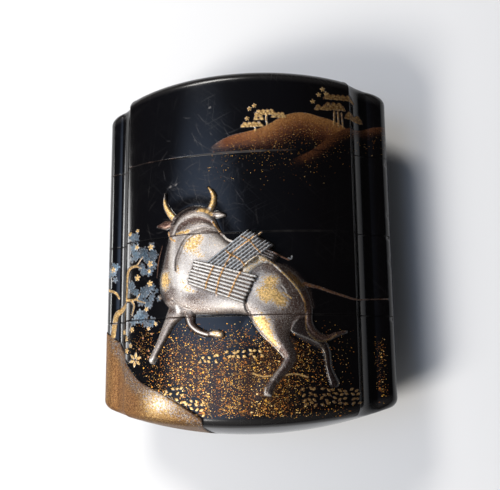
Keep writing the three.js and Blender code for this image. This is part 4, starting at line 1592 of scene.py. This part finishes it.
def add_camera():
    """The camera at the photograph's viewing angle, raised as the case lies on the floor."""
    data = bpy.data.cameras.new("camera")
    data.lens = CAMERA_LENS
    data.sensor_width = SENSOR_WIDTH
    data.clip_start = 0.01
    camera = in_scene(data)
    turn = Matrix((CAMERA_RIGHT, CAMERA_UP, CAMERA_BACK)).transposed().to_4x4()
    x, y, z = CAMERA_PLACE
    camera.matrix_world = Matrix.Translation((x, y, z + REST_HEIGHT * MM)) @ turn
    bpy.context.scene.camera = camera


def add_light(name, place, size, power):
    """A soft rectangular light at a place, which faces the middle of the floor."""
    data = bpy.data.lights.new(name, "AREA")
    data.shape = "RECTANGLE"
    data.size, data.size_y = size
    data.energy = power
    data.color = KEY_TINT
    light = in_scene(data)
    light.location = place
    light.rotation_euler = (-light.location).to_track_quat("-Z", "Y").to_euler()


def add_floor(colour):
    """A level square of floor under the case."""
    corners = np.array([(-1, -1, 0), (1, -1, 0), (1, 1, 0), (-1, 1, 0)]) * FLOOR_HALF
    mesh = bpy.data.meshes.new("floor")
    mesh.from_pydata(corners.tolist(), [], [(0, 1, 2, 3)])
    mesh.materials.append(plain_material("floor", colour, FLOOR_ROUGHNESS))
    in_scene(mesh)


def dim_room(studio):
    """The room round the case: dim, with soft glows overhead, in front and low at the left.

    Each glow is a smooth step of the cosine between a direction and the glow's middle.
    """
    world = bpy.data.worlds.new("dim_room")
    world.use_nodes = True
    nodes = Nodes(world.node_tree)
    direction = nodes.add("ShaderNodeTexCoord").outputs["Generated"]
    colour = (studio.surround,) * 3
    for middle, low, high, tint, strength in (
        (OVERHEAD_MIDDLE, 0.92, 1.0, OVERHEAD_TINT, studio.overhead_glow),
        (OVERHEAD_MIDDLE, 0.45, 1.0, OVERHEAD_TINT, studio.ceiling_glow),
        (FRONT_MIDDLE, 0.65, 0.98, WHITE, studio.front_glow),
        (WINDOW_MIDDLE, 0.979, 0.992, WHITE, studio.window_glow),
    ):
        cosine = nodes.add("ShaderNodeVectorMath", operation="DOT_PRODUCT")
        nodes.feed(cosine.inputs[0], direction)
        cosine.inputs[1].default_value = Vector(middle).normalized()
        glow = nodes.ramp(cosine.outputs["Value"], low, high)
        tinted = nodes.mix(glow, (0, 0, 0), [strength * part for part in tint])
        colour = nodes.mix(1, colour, tinted, "ADD")
    nodes.feed(world.node_tree.nodes["Background"].inputs["Color"], colour)
    return world


class INRO_OT_stage(bpy.types.Operator):
    """Sets up the pale floor, the camera and the soft lights"""

    bl_idname = "inro.stage"
    bl_label = "Set Up Stage"

    def execute(self, context):
        studio = context.scene.inro_studio
        add_camera()
        add_floor(context.scene.inro_finish.floor)
        add_light("key", KEY_PLACE, KEY_SIZE, studio.key_power)
        add_light("fill", FILL_PLACE, FILL_SIZE, studio.fill_power)
        context.scene.world = dim_room(studio)
        context.scene.view_settings.view_transform = "Standard"
        return {"FINISHED"}


class INRO_OT_lid(bpy.types.Operator):
    """Makes the lid with its domed end and the hill and pines on its front"""

    bl_idname = "inro.lid"
    bl_label = "Dress Lid"

    def execute(self, context):
        sizes = context.scene.inro_sizes
        gap = sizes.seam_gap / MM / 2
        hollow = closed_hollow("hollow", LID_SEAM, 1)
        steps = [socket_above(LID_SEAM), ("DIFFERENCE", hollow)] + channels()
        dress("lid", LID_SEAM + gap, None, steps, sizes)
        return {"FINISHED"}


class INRO_OT_stacked_cases(bpy.types.Operator):
    """Makes the two middle boxes, each with a riser, a socket and a hollow"""

    bl_idname = "inro.stacked_cases"
    bl_label = "Dress Middle Boxes"

    def execute(self, context):
        sizes = context.scene.inro_sizes
        gap = sizes.seam_gap / MM / 2
        for node, low, high in (
            ("upper_case", UPPER_SEAM, LID_SEAM),
            ("middle_case", LOWER_SEAM, UPPER_SEAM),
        ):
            hollow = prism(
                "hollow",
                pocket_section(HOLLOW_CORNER),
                low + SOCKET_DEPTH + FLOOR_THICKNESS,
                high + 2 * RISER_LENGTH,
            )
            steps = [riser_above(high), socket_above(low), ("DIFFERENCE", hollow)] + channels()
            dress(node, low + gap, high - gap, steps, sizes)
        return {"FINISHED"}


class INRO_OT_bottom_case(bpy.types.Operator):
    """Makes the bottom box with its riser, its hollow and its domed end"""

    bl_idname = "inro.bottom_case"
    bl_label = "Dress Bottom Box"

    def execute(self, context):
        sizes = context.scene.inro_sizes
        gap = sizes.seam_gap / MM / 2
        hollow = closed_hollow("hollow", LOWER_SEAM + 2 * RISER_LENGTH, -1)
        steps = [riser_above(LOWER_SEAM), ("DIFFERENCE", hollow)] + channels()
        dress("bottom_case", None, LOWER_SEAM - gap, steps, sizes)
        return {"FINISHED"}


class INRO_PT_panel(bpy.types.Panel):
    """Lists the sizes, the finish, the lights and the makers of the pieces"""

    bl_label = "Inro"
    bl_idname = "INRO_PT_panel"
    bl_space_type = "VIEW_3D"
    bl_region_type = "UI"
    bl_category = "Inro"

    def draw(self, context):
        layout = self.layout
        scene = context.scene
        for group in (scene.inro_sizes, scene.inro_finish, scene.inro_studio):
            column = layout.column(align=True)
            for name in group.__annotations__:
                column.prop(group, name)
        for operator in OPERATORS:
            layout.operator(operator.bl_idname)


GROUPS = (InroSizes, InroFinish, InroStudio)
OPERATORS = (INRO_OT_stage, INRO_OT_lid, INRO_OT_stacked_cases, INRO_OT_bottom_case)
CLASSES = (*GROUPS, *OPERATORS, INRO_PT_panel)


def register():
    """Adds the classes, and the sizes, colours and lights to the scene."""
    for each in CLASSES:
        bpy.utils.register_class(each)
    bpy.types.Scene.inro_sizes = PointerProperty(type=InroSizes)
    bpy.types.Scene.inro_finish = PointerProperty(type=InroFinish)
    bpy.types.Scene.inro_studio = PointerProperty(type=InroStudio)


def unregister():
    """Takes out what register added."""
    del bpy.types.Scene.inro_sizes
    del bpy.types.Scene.inro_finish
    del bpy.types.Scene.inro_studio
    for each in reversed(CLASSES):
        bpy.utils.unregister_class(each)


def main():
    """Makes the stage and all pieces."""
    register()
    bpy.ops.inro.stage()
    bpy.ops.inro.lid()
    bpy.ops.inro.stacked_cases()
    bpy.ops.inro.bottom_case()


if __name__ == "__main__":
    main()
